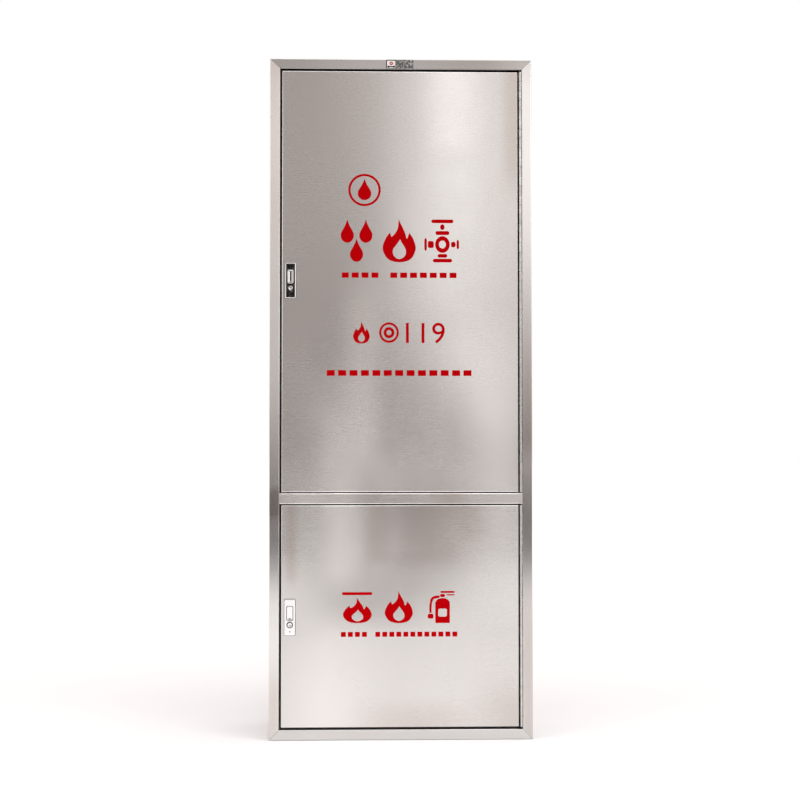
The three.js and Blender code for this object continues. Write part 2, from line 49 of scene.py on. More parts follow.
# ------------------------------------------------------------------ dimensions shared with the frame, mm
FRONT = -118.5
DOOR_FACE = FRONT + 1
HINGE_X = 317.2
DOORS = {
    "upper": {"low": 649.0, "high": 1768.0, "lock": 1208.5},
    "lower": {"low": 32.5, "high": 615.0, "lock": 321.5},
}
LOCK_X = -292.5


# ------------------------------------------------------------------ mesh helpers
def add(name, data):
    """A new object in the scene."""
    o = bpy.data.objects.new(name, data)
    bpy.context.scene.collection.objects.link(o)
    return o


def applied(name, o):
    """The mesh that an object makes with its modifiers; the object itself goes."""
    graph = bpy.context.evaluated_depsgraph_get()
    mesh = bpy.data.meshes.new_from_object(o.evaluated_get(graph))
    mesh.name = name
    bpy.data.objects.remove(o)
    return mesh


def mesh_of(name, verts, faces):
    """A mesh from millimetre vertices."""
    mesh = bpy.data.meshes.new(name)
    mesh.from_pydata([Vector(v) * MM for v in verts], [], faces)
    return mesh


def clean(mesh, sharp=None):
    """Merges double vertices and turns the faces out; with `sharp`, shades smooth up to that many degrees."""
    bm = bmesh.new()
    bm.from_mesh(mesh)
    bmesh.ops.remove_doubles(bm, verts=bm.verts, dist=1e-7)
    bmesh.ops.recalc_face_normals(bm, faces=bm.faces)
    if sharp is not None:
        limit = math.radians(sharp)
        for f in bm.faces:
            f.smooth = True
        for e in bm.edges:
            e.smooth = e.calc_face_angle(0.0) < limit
    bm.to_mesh(mesh)
    bm.free()


def piece(name, mesh, body, material, sharp=32):
    """A visible piece that rides on a body."""
    clean(mesh, sharp)
    o = add(name, mesh)
    mesh.materials.clear()
    mesh.materials.append(material)
    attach(o, body)
    return o


def make(name, data, body, slot, node=None, material=None, sharp=32):
    """A piece in its slot's material, standing for a frame node if one is named."""
    o = piece(name, mesh_of(name, *data), body, material or MATERIALS[slot], sharp)
    if node:
        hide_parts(node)
    return o


def carved(name, data, cutters, body, slot, node=None, material=None, sharp=32):
    """The same with the cutters taken away from it."""
    base, *tools = [add("temp", mesh_of("temp", *d)) for d in [data, *cutters]]
    for o in [base, *tools]:
        clean(o.data)
    for tool in tools:
        mod = base.modifiers.new("cut", "BOOLEAN")
        mod.operation = "DIFFERENCE"
        mod.solver = "EXACT"
        mod.object = tool
    mesh = applied(name, base)
    for tool in tools:
        bpy.data.objects.remove(tool)
    o = piece(name, mesh, body, material or MATERIALS[slot], sharp)
    if node:
        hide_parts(node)
    return o


# ------------------------------------------------------------------ shapes, as vertices and faces
AXES = {
    "z": lambda r, h, c, s: (r * c, r * s, h),
    "y": lambda r, h, c, s: (r * c, h, r * s),
    "x": lambda r, h, c, s: (h, r * c, r * s),
}


def lathe_data(profile, segments=64, axis="z", at=(0, 0, 0)):
    """Vertices and faces of (radius, height) points turned about an axis. The ends on the axis close it."""
    verts = []
    rings = []
    place = AXES[axis]
    for r, h in profile:
        if r < 1e-6:
            rings.append([len(verts)])
            verts.append(Vector(place(0, h, 1, 0)) + Vector(at))
            continue
        ring = []
        for i in range(segments):
            a = 2 * math.pi * i / segments
            ring.append(len(verts))
            verts.append(Vector(place(r, h, math.cos(a), math.sin(a))) + Vector(at))
        rings.append(ring)
    faces = []
    for a, b in zip(rings, rings[1:]):
        for i in range(segments):
            j = (i + 1) % segments
            if len(a) == 1 and len(b) == 1:
                break
            if len(a) == 1:
                faces.append((a[0], b[i], b[j]))
            elif len(b) == 1:
                faces.append((a[i], b[0], a[j]))
            else:
                faces.append((a[i], b[i], b[j], a[j]))
    return verts, faces


def loft_data(loops, closed=True):
    """A skin through loops of points, closed at both ends unless told otherwise."""
    n = len(loops[0])
    verts = [Vector(p) for loop in loops for p in loop]
    faces = []
    for k in range(len(loops) - 1):
        for i in range(n):
            j = (i + 1) % n
            faces.append((k * n + i, k * n + j, (k + 1) * n + j, (k + 1) * n + i))
    if closed:
        faces.append(tuple(range(n)))
        faces.append(tuple((len(loops) - 1) * n + i for i in range(n)))
    return verts, faces


def merged(*datas):
    """Several shapes as one."""
    verts = []
    faces = []
    for v, f in datas:
        start = len(verts)
        verts.extend(v)
        faces.extend(tuple(i + start for i in face) for face in f)
    return verts, faces


def moved(data, matrix):
    """The same shape under a matrix."""
    verts, faces = data
    return [matrix @ Vector(v) for v in verts], faces


def rounded_rect(w, h, r, steps=6):
    """Corner points of a rounded rectangle in (u, v)."""
    points = []
    for cx, cy, start in ((w / 2 - r, -h / 2 + r, -90), (w / 2 - r, h / 2 - r, 0),
                          (-w / 2 + r, h / 2 - r, 90), (-w / 2 + r, -h / 2 + r, 180)):
        for i in range(steps + 1):
            a = math.radians(start + 90 * i / steps)
            points.append((cx + r * math.cos(a), cy + r * math.sin(a)))
    return points


def plate_data(w, h, r, levels, at, steps=6):
    """A rounded plate in X and Z: levels are (y, inset) from back to front."""
    x, y0, z = at
    loops = []
    for y, inset in levels:
        shape = rounded_rect(w - 2 * inset, h - 2 * inset, max(r - inset, 0.25), steps)
        loops.append([(x + u, y0 + y, z + v) for u, v in shape])
    return loft_data(loops)


def box_data(x0, x1, y0, y1, z0, z1, edge=0.8):
    """A block whose edges are rounded over."""
    w = x1 - x0
    h = z1 - z0
    e = min(edge, w * 0.3, h * 0.3, (y1 - y0) * 0.3)
    d = y1 - y0
    levels = [(0, e), (e * 0.3, e * 0.3), (e, 0), (d - e, 0), (d - e * 0.3, e * 0.3), (d, e)]
    return plate_data(w, h, e, levels, ((x0 + x1) / 2, y0, (z0 + z1) / 2), 3)


def tube_loops(points, r, sides=16):
    """The circles of a round tube along a list of points, with frames carried along it."""
    pts = [Vector(p) for p in points]
    loops = []
    normal = None
    for i, p in enumerate(pts):
        t = (pts[min(i + 1, len(pts) - 1)] - pts[max(i - 1, 0)]).normalized()
        if normal is None:
            normal = t.orthogonal().normalized()
        normal = (normal - t * normal.dot(t)).normalized()
        other = t.cross(normal)
        loops.append([p + normal * (r * math.cos(2 * math.pi * k / sides))
                      + other * (r * math.sin(2 * math.pi * k / sides)) for k in range(sides)])
    return loops


def tube_data(points, r, sides=16):
    """A round solid along a list of points."""
    return loft_data(tube_loops(points, r, sides))


def bend(corners, radius, steps=10):
    """Points along straight runs through rounded corners."""
    pts = [Vector(c) for c in corners]
    out = [pts[0]]
    for a, b, c in zip(pts, pts[1:], pts[2:]):
        start = b + (a - b).normalized() * radius
        end = b + (c - b).normalized() * radius
        for i in range(steps + 1):
            t = i / steps
            out.append(start * (1 - t) ** 2 + b * 2 * t * (1 - t) + end * t * t)
    out.append(pts[-1])
    return out


def torus_data(big, small, at=(0, 0, 0), axis="z", segments=64, sides=14):
    """A ring round an axis; big is its radius to the middle of the section and small the section's."""
    turns = [2 * math.pi * k / sides for k in range(sides + 1)]
    return lathe_data([(big + small * math.cos(a), small * math.sin(a)) for a in turns], segments, axis, at)


def rod(r, low, high):
    """Profile points of a plain cylinder."""
    return [(0, low), (r, low), (r, high), (0, high)]


# ------------------------------------------------------------------ material helpers
class Graph:
    """A small builder for a node tree: every method takes sockets, numbers or colours and gives a socket."""

    def __init__(self, tree):
        """Adds to the nodes of a tree."""
        self.tree = tree

    def new(self, kind, **values):
        """A node; each value is one of its settings or one of its inputs."""
        node = self.tree.nodes.new(kind)
        for key, value in values.items():
            if hasattr(node, key) and key not in node.inputs:
                setattr(node, key, value)
            else:
                node.inputs[key].default_value = value
        return node

    def link(self, a, b):
        self.tree.links.new(a, b)

    def put(self, socket, value):
        """Gives an input a colour, a number or a link."""
        if isinstance(value, tuple):
            socket.default_value = (*value, 1)
        elif isinstance(value, (int, float)):
            socket.default_value = value
        else:
            self.link(value, socket)

    def split(self, vector):
        """The X, Y and Z of a vector."""
        node = self.new("ShaderNodeSeparateXYZ")
        self.link(vector, node.inputs[0])
        return node.outputs

    def ramp(self, source, low, high, out_low=0.0, out_high=1.0, smooth=False):
        """Fits low..high to out_low..out_high and stops at both ends."""
        node = self.new("ShaderNodeMapRange", interpolation_type="SMOOTHSTEP" if smooth else "LINEAR")
        for socket, value in zip(node.inputs, (source, low, high, out_low, out_high)):
            self.put(socket, value)
        return node.outputs["Result"]

    def math(self, operation, a, b=0, clamp=False):
        node = self.new("ShaderNodeMath", operation=operation, use_clamp=clamp)
        self.put(node.inputs[0], a)
        self.put(node.inputs[1], b)
        return node.outputs[0]

    def mix(self, factor, a, b, blend="MIX"):
        """Two colours mixed by a factor."""
        node = self.new("ShaderNodeMix", data_type="RGBA", blend_type=blend)
        for index, value in ((0, factor), (6, a), (7, b)):
            self.put(node.inputs[index], value)
        return node.outputs[2]


class Nodes(Graph):
    """A principled material in object coordinates."""

    def __init__(self, name):
        self.material = bpy.data.materials.new(name)
        self.material.use_nodes = True
        super().__init__(self.material.node_tree)
        self.shader = self.tree.nodes["Principled BSDF"]
        self.place = self.new("ShaderNodeTexCoord").outputs["Object"]

    def noise(self, scale, stretch=(1, 1, 1), detail=3.0, rough=0.5, distortion=0.0):
        """Cloudy noise, which stretch draws out along the axes."""
        stretched = self.new("ShaderNodeMapping", Scale=stretch)
        self.link(self.place, stretched.inputs["Vector"])
        node = self.new("ShaderNodeTexNoise", Scale=scale, Detail=detail, Roughness=rough,
                        Distortion=distortion)
        self.link(stretched.outputs["Vector"], node.inputs["Vector"])
        return node.outputs["Fac"]

    def wave(self, scale, distortion, direction="X", **values):
        """Bands along an axis."""
        node = self.new("ShaderNodeTexWave", Scale=scale, Distortion=distortion, bands_direction=direction,
                        **values)
        self.link(self.place, node.inputs["Vector"])
        return node.outputs["Fac"]

    def bump(self, height, distance, strength=1.0, after=None):
        """A normal that a height changes, on top of the one in after."""
        node = self.new("ShaderNodeBump", Strength=strength, Distance=distance)
        self.link(height, node.inputs["Height"])
        if after is not None:
            self.link(after, node.inputs["Normal"])
        return node.outputs["Normal"]

    def finish(self, color, rough, normal=None, **constants):
        """The finished material; constants are further inputs of its shader."""
        for socket, value in (("Base Color", color), ("Roughness", rough), ("Normal", normal)):
            if value is not None:
                self.put(self.shader.inputs[socket], value)
        for key, value in constants.items():
            self.shader.inputs[key.replace("_", " ")].default_value = value
        return self.material


def tint(color, factor):
    """A colour made lighter or darker."""
    return tuple(min(1.0, c * factor) for c in color)


def painted_streak_weight(n, x, z, middle, half, top, full, fading, bottom):
    """How strong a band of painted light and shade is: it fades sideways over `half` either side of its
    middle, and it starts at the height top, is whole between full and fading, and ends at bottom."""
    away = n.math("ABSOLUTE", n.math("SUBTRACT", x, middle))
    height = n.math("MULTIPLY", n.ramp(z, top, full, 0, 1, True), n.ramp(z, bottom, fading, 0, 1, True))
    return n.math("MULTIPLY", n.ramp(away, half, 0, 0, 1, True), height)


def brushed(name, base, grain=(18, 900, 900), rough=0.3, wave=0.0, anisotropic=0.5, smudge=0.05, around="X",
            bow=0.0, ripple=0.0, bands=()):
    """Stainless sheet: hairline grain, soft smudges and, on large sheets, a slight bow and waviness.
    around is the axis whose circles the highlights stretch along.
    bands are streaks of painted reflection and painted shade on the colour: each holds the band's middle,
    half width and four heights, and then the shade."""
    n = Nodes(name)
    hair = n.noise(1.0, grain, 2.0, 0.6)
    hair_soft = n.noise(1.0, tuple(g * 0.3 for g in grain), 2.0, 0.6)
    cloud = n.noise(3.1, (1, 1, 0.7), 4.0, 0.6, 0.3)
    specks = n.noise(260.0, (1, 1, 1), 1.0, 0.5)
    lines = n.math("ADD", n.math("MULTIPLY", hair, 0.85), n.math("MULTIPLY", hair_soft, 0.15))
    color = n.mix(n.ramp(lines, 0.3, 0.7), tint(base, 0.98), tint(base, 1.02))
    color = n.mix(n.ramp(cloud, 0.35, 0.75, 0.0, smudge * 1.6), color, tint(base, 0.80))
    color = n.mix(n.ramp(specks, 0.79, 0.84, 0.0, 0.10), color, (0.25, 0.24, 0.23))
    x, _, z = n.split(n.place)
    # Painted light and shade: a band whose shade is above 1 is a painted highlight, and one below 1 is
    # painted shade with a warmer cast.
    for *span, shade in bands:
        painted_tone = tint(base, shade)
        if shade < 1:
            painted_tone = tuple(c * warmth for c, warmth in zip(painted_tone, SHADE_WARMTH))
        color = n.mix(painted_streak_weight(n, x, z, *span), color, painted_tone)
    r = n.math("ADD", n.ramp(cloud, 0.3, 0.7, rough - smudge, rough + smudge),
               n.ramp(lines, 0.3, 0.7, -0.02, 0.02))
    normal = n.bump(lines, 0.00002, 0.3)
    if wave:
        normal = n.bump(n.noise(1.0, (4.2, 4.2, 0.55), 1.0, 0.4, 0.2), wave, 1.0, normal)
    if ripple:
        swing = n.math("SINE", n.math("MULTIPLY", n.math("ADD", x, 0.20), 2 * math.pi / RIPPLE_LENGTH))
        fade = n.math("MULTIPLY", n.ramp(z, 1.15, 0.72, 0, 1, True), n.ramp(z, 0.28, 0.50, 0, 1, True))
        normal = n.bump(n.math("MULTIPLY", n.math("MULTIPLY", swing, fade), -ripple), 1.0, 1.0, normal)
    if bow:
        normal = n.bump(n.math("MULTIPLY", n.math("MULTIPLY", x, x), -bow), 1.0, 1.0, normal)
    tangent = n.new("ShaderNodeTangent", direction_type="RADIAL", axis=around)
    n.link(tangent.outputs[0], n.shader.inputs["Tangent"])
    return n.finish(color, r, normal, Metallic=1.0, Anisotropic=anisotropic)


def plated(name, base, rough=0.08, grime=0.5, dulled=0.16):
    """Polished or plated metal with fine wipe marks and dulled patches."""
    n = Nodes(name)
    wipe = n.noise(1.0, (220, 220, 60), 3.0, 0.6)
    dull = n.noise(45.0, (1, 1, 1), 4.0, 0.6)
    color = n.mix(n.ramp(dull, 0.45, 0.8, 0.0, grime), tint(base, 1.0), tint(base, 0.72))
    r = n.math("ADD", n.ramp(dull, 0.4, 0.75, rough, rough + dulled), n.ramp(wipe, 0.4, 0.7, 0.0, 0.05))
    return n.finish(color, r, n.bump(wipe, 0.00002, 0.4), Metallic=1.0)


def enamel(name, base, rough=0.28, peel=0.00008, coat=0.5, chips=0.0, scale=160.0):
    """Gloss paint with orange peel, uneven fading, dust and optional chips."""
    n = Nodes(name)
    peel_noise = n.noise(scale, (1, 1, 1), 2.0, 0.5)
    fade = n.noise(6.0, (1, 1, 1), 4.0, 0.6)
    dust = n.noise(70.0, (1, 1, 1), 5.0, 0.7)
    color = n.mix(n.ramp(fade, 0.3, 0.7), tint(base, 0.86), tint(base, 1.12))
    color = n.mix(n.ramp(dust, 0.58, 0.8, 0.0, 0.10), color, (0.42, 0.38, 0.34))
    if chips:
        flakes = n.noise(38.0, (1, 1, 1), 6.0, 0.75, 0.6)
        color = n.mix(n.ramp(flakes, 0.72, 0.74, 0.0, chips), color, (0.16, 0.13, 0.11))
    r = n.math("ADD", n.ramp(dust, 0.4, 0.75, rough, rough + 0.2), n.ramp(fade, 0.3, 0.7, -0.03, 0.04))
    return n.finish(color, r, n.bump(peel_noise, peel, 0.7), Coat_Weight=coat, Coat_Roughness=0.12)


def cast(name, base, metallic=0.0, rough=0.45):
    """Painted or bare sand casting: coarse skin and darker pits."""
    n = Nodes(name)
    skin = n.noise(420.0, (1, 1, 1), 4.0, 0.65)
    lumps = n.noise(60.0, (1, 1, 1), 3.0, 0.6)
    color = n.mix(n.ramp(skin, 0.3, 0.7), tint(base, 0.80), tint(base, 1.12))
    color = n.mix(n.ramp(lumps, 0.55, 0.8, 0.0, 0.25), color, tint(base, 0.55))
    normal = n.bump(skin, 0.00035, 0.6, n.bump(lumps, 0.0008, 0.4))
    r = n.ramp(skin, 0.3, 0.7, rough - 0.08, rough + 0.14)
    return n.finish(color, r, normal, Metallic=metallic, Coat_Weight=0.25 if not metallic else 0.0)


def rubberlike(name, base, rough=0.6, weave=0.0):
    """Black rubber with a dusty bloom; weave is the scale of a fabric cover's waves."""
    n = Nodes(name)
    grain = n.noise(500.0, (1, 1, 1), 3.0, 0.6)
    bloom = n.noise(18.0, (1, 1, 1), 4.0, 0.6)
    color = n.mix(n.ramp(bloom, 0.4, 0.75, 0.0, 0.6), tint(base, 0.8), tint(base, 1.9))
    normal = n.bump(grain, 0.0002, 0.5)
    if weave:
        normal = n.bump(n.wave(weave, 0.4, "DIAGONAL"), 0.0003, 0.6, normal)
    return n.finish(color, n.ramp(bloom, 0.3, 0.7, rough - 0.08, rough + 0.12), normal)


def woven(name, base, thread=1500.0):
    """Canvas jacket of a lay-flat hose: two crossing thread waves, soiling and a slight sheen."""
    n = Nodes(name)
    threads = n.math("MULTIPLY", *(n.wave(thread / 6.3, 0.6, way, Detail=1.0) for way in ("Y", "DIAGONAL")))
    soil = n.noise(14.0, (1, 1, 1), 5.0, 0.65)
    color = n.mix(n.ramp(threads, 0.0, 1.0), tint(base, 0.74), tint(base, 1.08))
    color = n.mix(n.ramp(soil, 0.5, 0.8, 0.0, 0.35), color, (0.34, 0.29, 0.20))
    return n.finish(color, n.ramp(soil, 0.3, 0.7, 0.78, 0.92), n.bump(threads, 0.0004, 0.8),
                    Sheen_Weight=0.25)


def film(name, base, rough=0.38, shine=0.5):
    """Printed vinyl film: slight print mottle and tiny bubbles."""
    n = Nodes(name)
    mottle = n.noise(90.0, (1, 1, 1), 3.0, 0.6)
    fade = n.noise(5.0, (1, 1, 1), 2.0, 0.5)
    color = n.mix(n.ramp(mottle, 0.3, 0.7), tint(base, 0.92), tint(base, 1.06))
    color = n.mix(n.ramp(fade, 0.35, 0.7, 0.0, 0.12), color, tint(base, 0.7))
    return n.finish(color, n.ramp(mottle, 0.3, 0.7, rough - 0.05, rough + 0.08), n.bump(mottle, 0.00005, 0.4),
                    Specular_IOR_Level=shine)


def patterned_film(name):
    """The label's grey security pattern: crossing fine waves under a cloudy tint."""
    n = Nodes(name)
    wave = n.wave(210.0, 14.0, **{"Detail Scale": 3.0})
    cloud = n.noise(210.0, (1, 1, 1), 2.0, 0.6)
    color = n.mix(n.ramp(wave, 0.35, 0.65), (0.05, 0.05, 0.05), (0.22, 0.22, 0.215))
    color = n.mix(n.ramp(cloud, 0.5, 0.6, 0.0, 0.75), color, (0.60, 0.60, 0.58))
    return n.finish(color, n.ramp(cloud, 0.3, 0.7, 0.28, 0.42), None, Metallic=0.35)


STEEL = (0.74, 0.724, 0.710)
# The warmer cast of the painted shade bands.
SHADE_WARMTH = (1, 0.955, 0.93)
RIPPLE_LENGTH = 0.70

# Bands of painted reflection and painted shade in metres: middle and half width, then the heights top, full,
# fading and bottom.
# The last number is the shade: above 1 is a painted highlight lighter than the sheet, below 1 is painted
# shade darker than it.
DOOR_BANDS = [
    (-0.16, 0.085, 1.05, 0.62, 0.46, 0.36, 1.24),
    (0.075, 0.17, 0.68, 0.60, 0.50, 0.42, 0.80),
    (-0.105, 0.08, 1.32, 1.05, 0.76, 0.66, 1.22),
    (0.11, 0.18, 1.12, 0.96, 0.70, 0.655, 1.12),
    (0.13, 0.12, 1.95, 1.85, 1.62, 1.50, 1.13),
    (-0.19, 0.20, 0.36, 0.24, 0.04, -0.2, 1.15),
    (0.31, 0.17, 0.22, 0.06, 0.03, -0.2, 0.84),
    (0.17, 0.09, 0.68, 0.60, 0.55, 0.50, 0.86),
    (-0.06, 0.06, 0.66, 0.60, 0.50, 0.44, 0.86),
    (-0.29, 0.03, 0.68, 0.60, 0.44, 0.38, 0.86),
    (0.10, 0.42, 0.80, 0.69, 0.66, 0.63, 1.14),
    (0.30, 0.05, 1.90, 1.80, 1.55, 1.40, 0.88),
    (0.05, 0.24, 0.13, 0.05, 0.02, -0.2, 0.90),
]
FRAME_BANDS = [
    (0.335, 0.05, 1.35, 0.84, 0.80, 0.70, 0.60),
    (0.335, 0.05, 0.54, 0.22, 0.0, -0.2, 0.76),
    (-0.335, 0.05, 0.674, 0.645, 0.60, 0.56, 0.70),
    (-0.335, 0.05, 1.90, 1.80, 1.45, 1.20, 0.89),
    (-0.335, 0.05, 0.25, 0.10, 0.0, -0.2, 0.83),
]
RAIL_BANDS = [
    DOOR_BANDS[0],
    (-0.23, 0.12, 0.80, 0.70, 0.50, 0.40, 1.20),
    (0.13, 0.08, 0.80, 0.70, 0.50, 0.40, 0.85),
]
TOP_RAIL_BANDS = [(0.22, 0.34, 1.85, 1.83, 1.72, 1.70, 0.64)]
RAIL_GRAIN = (50, 2400, 2400)
MATERIALS = {
    "cabinet_sheet": brushed("sheet_steel", tint(STEEL, 0.95), (14, 14, 700), 0.34, 0.0012, 0.0, 0.07, "Z"),
    "frame": brushed("frame_steel", tint(STEEL, 1.08), (2400, 2400, 50), 0.20, 0.0006, 0.7, 0.03, "Z", -0.05,
                     bands=FRAME_BANDS),
    "door": brushed("door_steel", STEEL, (50, 2600, 2600), 0.26, 0.0012, 0.45, 0.03, "X", 0.13, 0.0078,
                    DOOR_BANDS),
    "hinge": plated("hinge_steel", (0.66, 0.65, 0.64), 0.22, 0.5),
    "lock": plated("lock_chrome", (0.90, 0.90, 0.90), 0.03, 0.15, 0.06),
    "zinc": plated("zinc_plate", (0.60, 0.61, 0.63), 0.34, 0.8),
    "red_enamel": enamel("red_enamel", (0.56, 0.012, 0.018), 0.26, 0.0001, 0.6, 0.25),
    "valve_iron": cast("valve_paint", (0.50, 0.014, 0.018)),
    "brass": plated("brass", (0.72, 0.50, 0.20), 0.22, 0.7),
    "coupling_alloy": cast("alloy_casting", (0.66, 0.67, 0.68), 1.0, 0.38),
    "hose_rubber": rubberlike("hose_rubber", (0.018, 0.018, 0.019), 0.55, 90.0),
    "hose_fabric": woven("hose_jacket", (0.80, 0.76, 0.66)),
    "print": film("print_red", (0.47, 0.0008, 0.003), 0.7, 0.0),
    "call_point_red": enamel("call_point_red", (0.60, 0.015, 0.02), 0.34, 0.00005, 0.2, 0.0, 300.0),
    "call_point_white": enamel("call_point_white", (0.80, 0.79, 0.76), 0.36, 0.00005, 0.1, 0.0, 300.0),
}
# The rails get their own copies of the steel: the middle rail's carries bands of painted reflection, and the
# bottom and top rails' are darker as painted shade.
RAIL_STEEL = brushed("rail_steel", tint(STEEL, 1.1), RAIL_GRAIN, 0.24, 0.0006, 0.3, 0.03, bands=RAIL_BANDS)
BOTTOM_RAIL_STEEL = brushed("bottom_rail_steel", tint(STEEL, 0.90), RAIL_GRAIN, 0.24, 0.0006, 0.3, 0.03)
TOP_RAIL_STEEL = brushed("top_rail_steel", tint(STEEL, 0.79), RAIL_GRAIN, 0.20, 0.0006, 0.3, 0.03,
                         bands=TOP_RAIL_BANDS)
STIFFENER = brushed("stiffener_steel", tint(STEEL, 0.86), (900, 900, 22), 0.32, 0.0004, 0.3, 0.06, "Z")
# Near-black steel as painted shade: on the lock bolts in the door gap, on the lock case round its openings,
# and as the ring round the key plug.
SHADE_BLACK_STEEL = plated("shade_black_steel", (0.055, 0.053, 0.05), 0.42, 0.6)
# Near-black steel for the hinges' webs behind the knuckles: painted shade.
HINGE_WEB_SHADE = plated("hinge_web_shade", (0.09, 0.085, 0.08), 0.4, 0.5)
WELD = plated("spot_weld", (0.36, 0.30, 0.25), 0.35, 0.8)
BLACK_PRINT = film("print_black", (0.02, 0.02, 0.02), 0.6, 0.1)
WHITE_PRINT = film("print_white", (0.82, 0.81, 0.79))
GREY_PRINT = patterned_film("print_pattern")
GREEN_PRINT = film("print_green", (0.03, 0.30, 0.08))

for name, o in NODES.items():
    material = MATERIALS[SLOT_OF[name]]
    if name.endswith("_stiffener"):
        material = STIFFENER
    # The lock bolts sit in the gap and are near-black: painted shade.
    if name.endswith("_lock_bolt"):
        material = SHADE_BLACK_STEEL
    o.data.materials.clear()
    o.data.materials.append(material)


def soften(name, width, segments):
    """Rounds the folded edges of a sheet-metal node."""
    mod = NODES[name].modifiers.new("fold", "BEVEL")
    mod.width = width * MM
    mod.segments = segments
    mod.limit_method = "ANGLE"
    mod.angle_limit = math.radians(50)
    mod.harden_normals = False


for name in ("divider_shelf", "hose_tray", "branchpipe_rack", "reel_bracket", "upper_door_stiffener",
             "lower_door_stiffener"):
    soften(name, 0.5, 2)
for name in ("upper_lock_bolt", "lower_lock_bolt", "feed_valve_lever"):
    soften(name, 0.6, 3)
for name in ("back_panel", "left_side_panel", "right_side_panel", "top_panel", "bottom_panel"):
    soften(name, 0.4, 2)


# ------------------------------------------------------------------ folded sheet: front frame and door panels
FOLD = 2.2
SHEET = 1.5
WIDTH = 695
HEIGHT = 1800
FLANGE = 27
STOP = 22.5
LIP = 39
RAIL = (618, 646.3)


def arc(cx, cy, r, start, stop, steps=5):
    """Points along a circular fold; angles in degrees."""
    turns = [math.radians(start + (stop - start) * i / steps) for i in range(steps + 1)]
    return [(cx + r * math.cos(a), cy + r * math.sin(a)) for a in turns]


def eased(points, margin=0.7):
    """The closed outline with a point near both ends of each long side, so that the flats shade flat."""
    out = []
    for a, b in zip(points, points[1:] + points[:1]):
        out.append(a)
        length = math.hypot(b[0] - a[0], b[1] - a[1])
        if length > 4 * margin:
            for t in (margin / length, 1 - margin / length):
                out.append((a[0] + (b[0] - a[0]) * t, a[1] + (b[1] - a[1]) * t))
    return out


def folded_section():
    """Outline (inwards, back) of the front frame: face, outer return, inner return and stop lip."""
    r = FOLD
    i = r - SHEET
    return eased(
        arc(r, r, r, 180, 270) + arc(FLANGE - r, r, r, 270, 360) + arc(FLANGE + i, STOP - i, i, 180, 90, 3)
        + [(LIP, STOP), (LIP, STOP + SHEET)] + arc(FLANGE + i, STOP - i, r, 90, 180)
        + arc(FLANGE - r, r, i, 360, 270, 3) + arc(r, r, i, 270, 180, 3) + [(SHEET, 18), (0, 18)])


def member(length, place):
    """A frame member with mitred ends that are eased where they meet.
    place maps (inwards, back, along) to X, Y, Z."""
    loops = []
    for far, step, dip in ((0, 0.0, 0.35), (0, 0.45, 0.0), (1, 0.45, 0.0), (1, 0.0, 0.35)):
        loop = []
        for u, v in folded_section():
            mitre = u + 0.15 + step
            loop.append(place(u, v + (dip if v < 3 else 0), length - mitre if far else mitre))
        loops.append(loop)
    return loft_data(loops)


def rail_section():
    """Outline (height, back) of the middle rail, which has a stop lip on both sides."""
    low, high = RAIL
    r = FOLD
    i = r - SHEET
    lip = high + LIP - FLANGE
    side = (arc(high - r, r, r, 270, 360) + arc(high + i, STOP - i, i, 180, 90, 3)
            + [(lip, STOP), (lip, STOP + SHEET)] + arc(high + i, STOP - i, r, 90, 180)
            + arc(high - r, r, i, 360, 270, 3))
    mirrored = [(low + high - z, v) for z, v in reversed(side)]
    return eased(side + mirrored)


def build_frame():
    """The front frame's four members and middle rail, and the seals that the doors close on; the seals are
    black rubber that also darkens the bottom of the door gaps as painted shade.
    """
    x = WIDTH / 2
    slots = [box_data(-323.5, -319, FRONT + 11.5, FRONT + 19.5, d["lock"] - 1, d["lock"] + 21, 0.1)
             for d in DOORS.values()]
    left = member(HEIGHT, lambda u, v, l: (-x + u, FRONT + v, l))
    carved("left_stile_skin", left, slots, "cabinet", "frame", "frame_left_stile")
    sides = {
        "right_stile": (HEIGHT, lambda u, v, l: (x - u, FRONT + v, l), None),
        "bottom_rail": (WIDTH, lambda u, v, l: (l - x, FRONT + v, u), BOTTOM_RAIL_STEEL),
        "top_rail": (WIDTH, lambda u, v, l: (l - x, FRONT + v, HEIGHT - u), TOP_RAIL_STEEL),
    }
    for name, (length, place, material) in sides.items():
        make(name + "_skin", member(length, place), "cabinet", "frame", "frame_" + name, material)
    section = rail_section()
    loops = []
    for px, dip in ((-320.2, 0.35), (-319.75, 0), (319.75, 0), (320.2, 0.35)):
        loops.append([(px, FRONT + v + (dip if v < 3 else 0), z) for z, v in section])
    notches = [box_data(*ends, FRONT + 22.2, FRONT + 26, RAIL[0] - 15, RAIL[1] + 15, 0.1)
               for ends in ((-330, -308.2), (308.2, 330))]
    carved("mid_rail_skin", loft_data(loops), notches, "cabinet", "frame", "frame_mid_rail", RAIL_STEEL)
    # Black rubber seals on the stop lips: the doors close on them, and they also put painted shade at the
    # bottom of the gaps.
    strip = [(22.45, 0.9), (21.5, 0.9), (21.35, 1.2), (21.35, 9.4), (21.5, 9.7), (22.45, 9.7), (22.45, 0.9)]
    for name, low, high in (("lower", FLANGE, RAIL[0]), ("upper", RAIL[1], HEIGHT - FLANGE)):
        loops = []
        for y, inset in strip:
            shape = rounded_rect(641 - 2 * inset, high - low - 2 * inset, 1.0, 3)
            loops.append([(u, FRONT + y, (low + high) / 2 + v) for u, v in shape])
        make(name + "_door_seal", loft_data(loops, False), "cabinet", "hose_rubber")


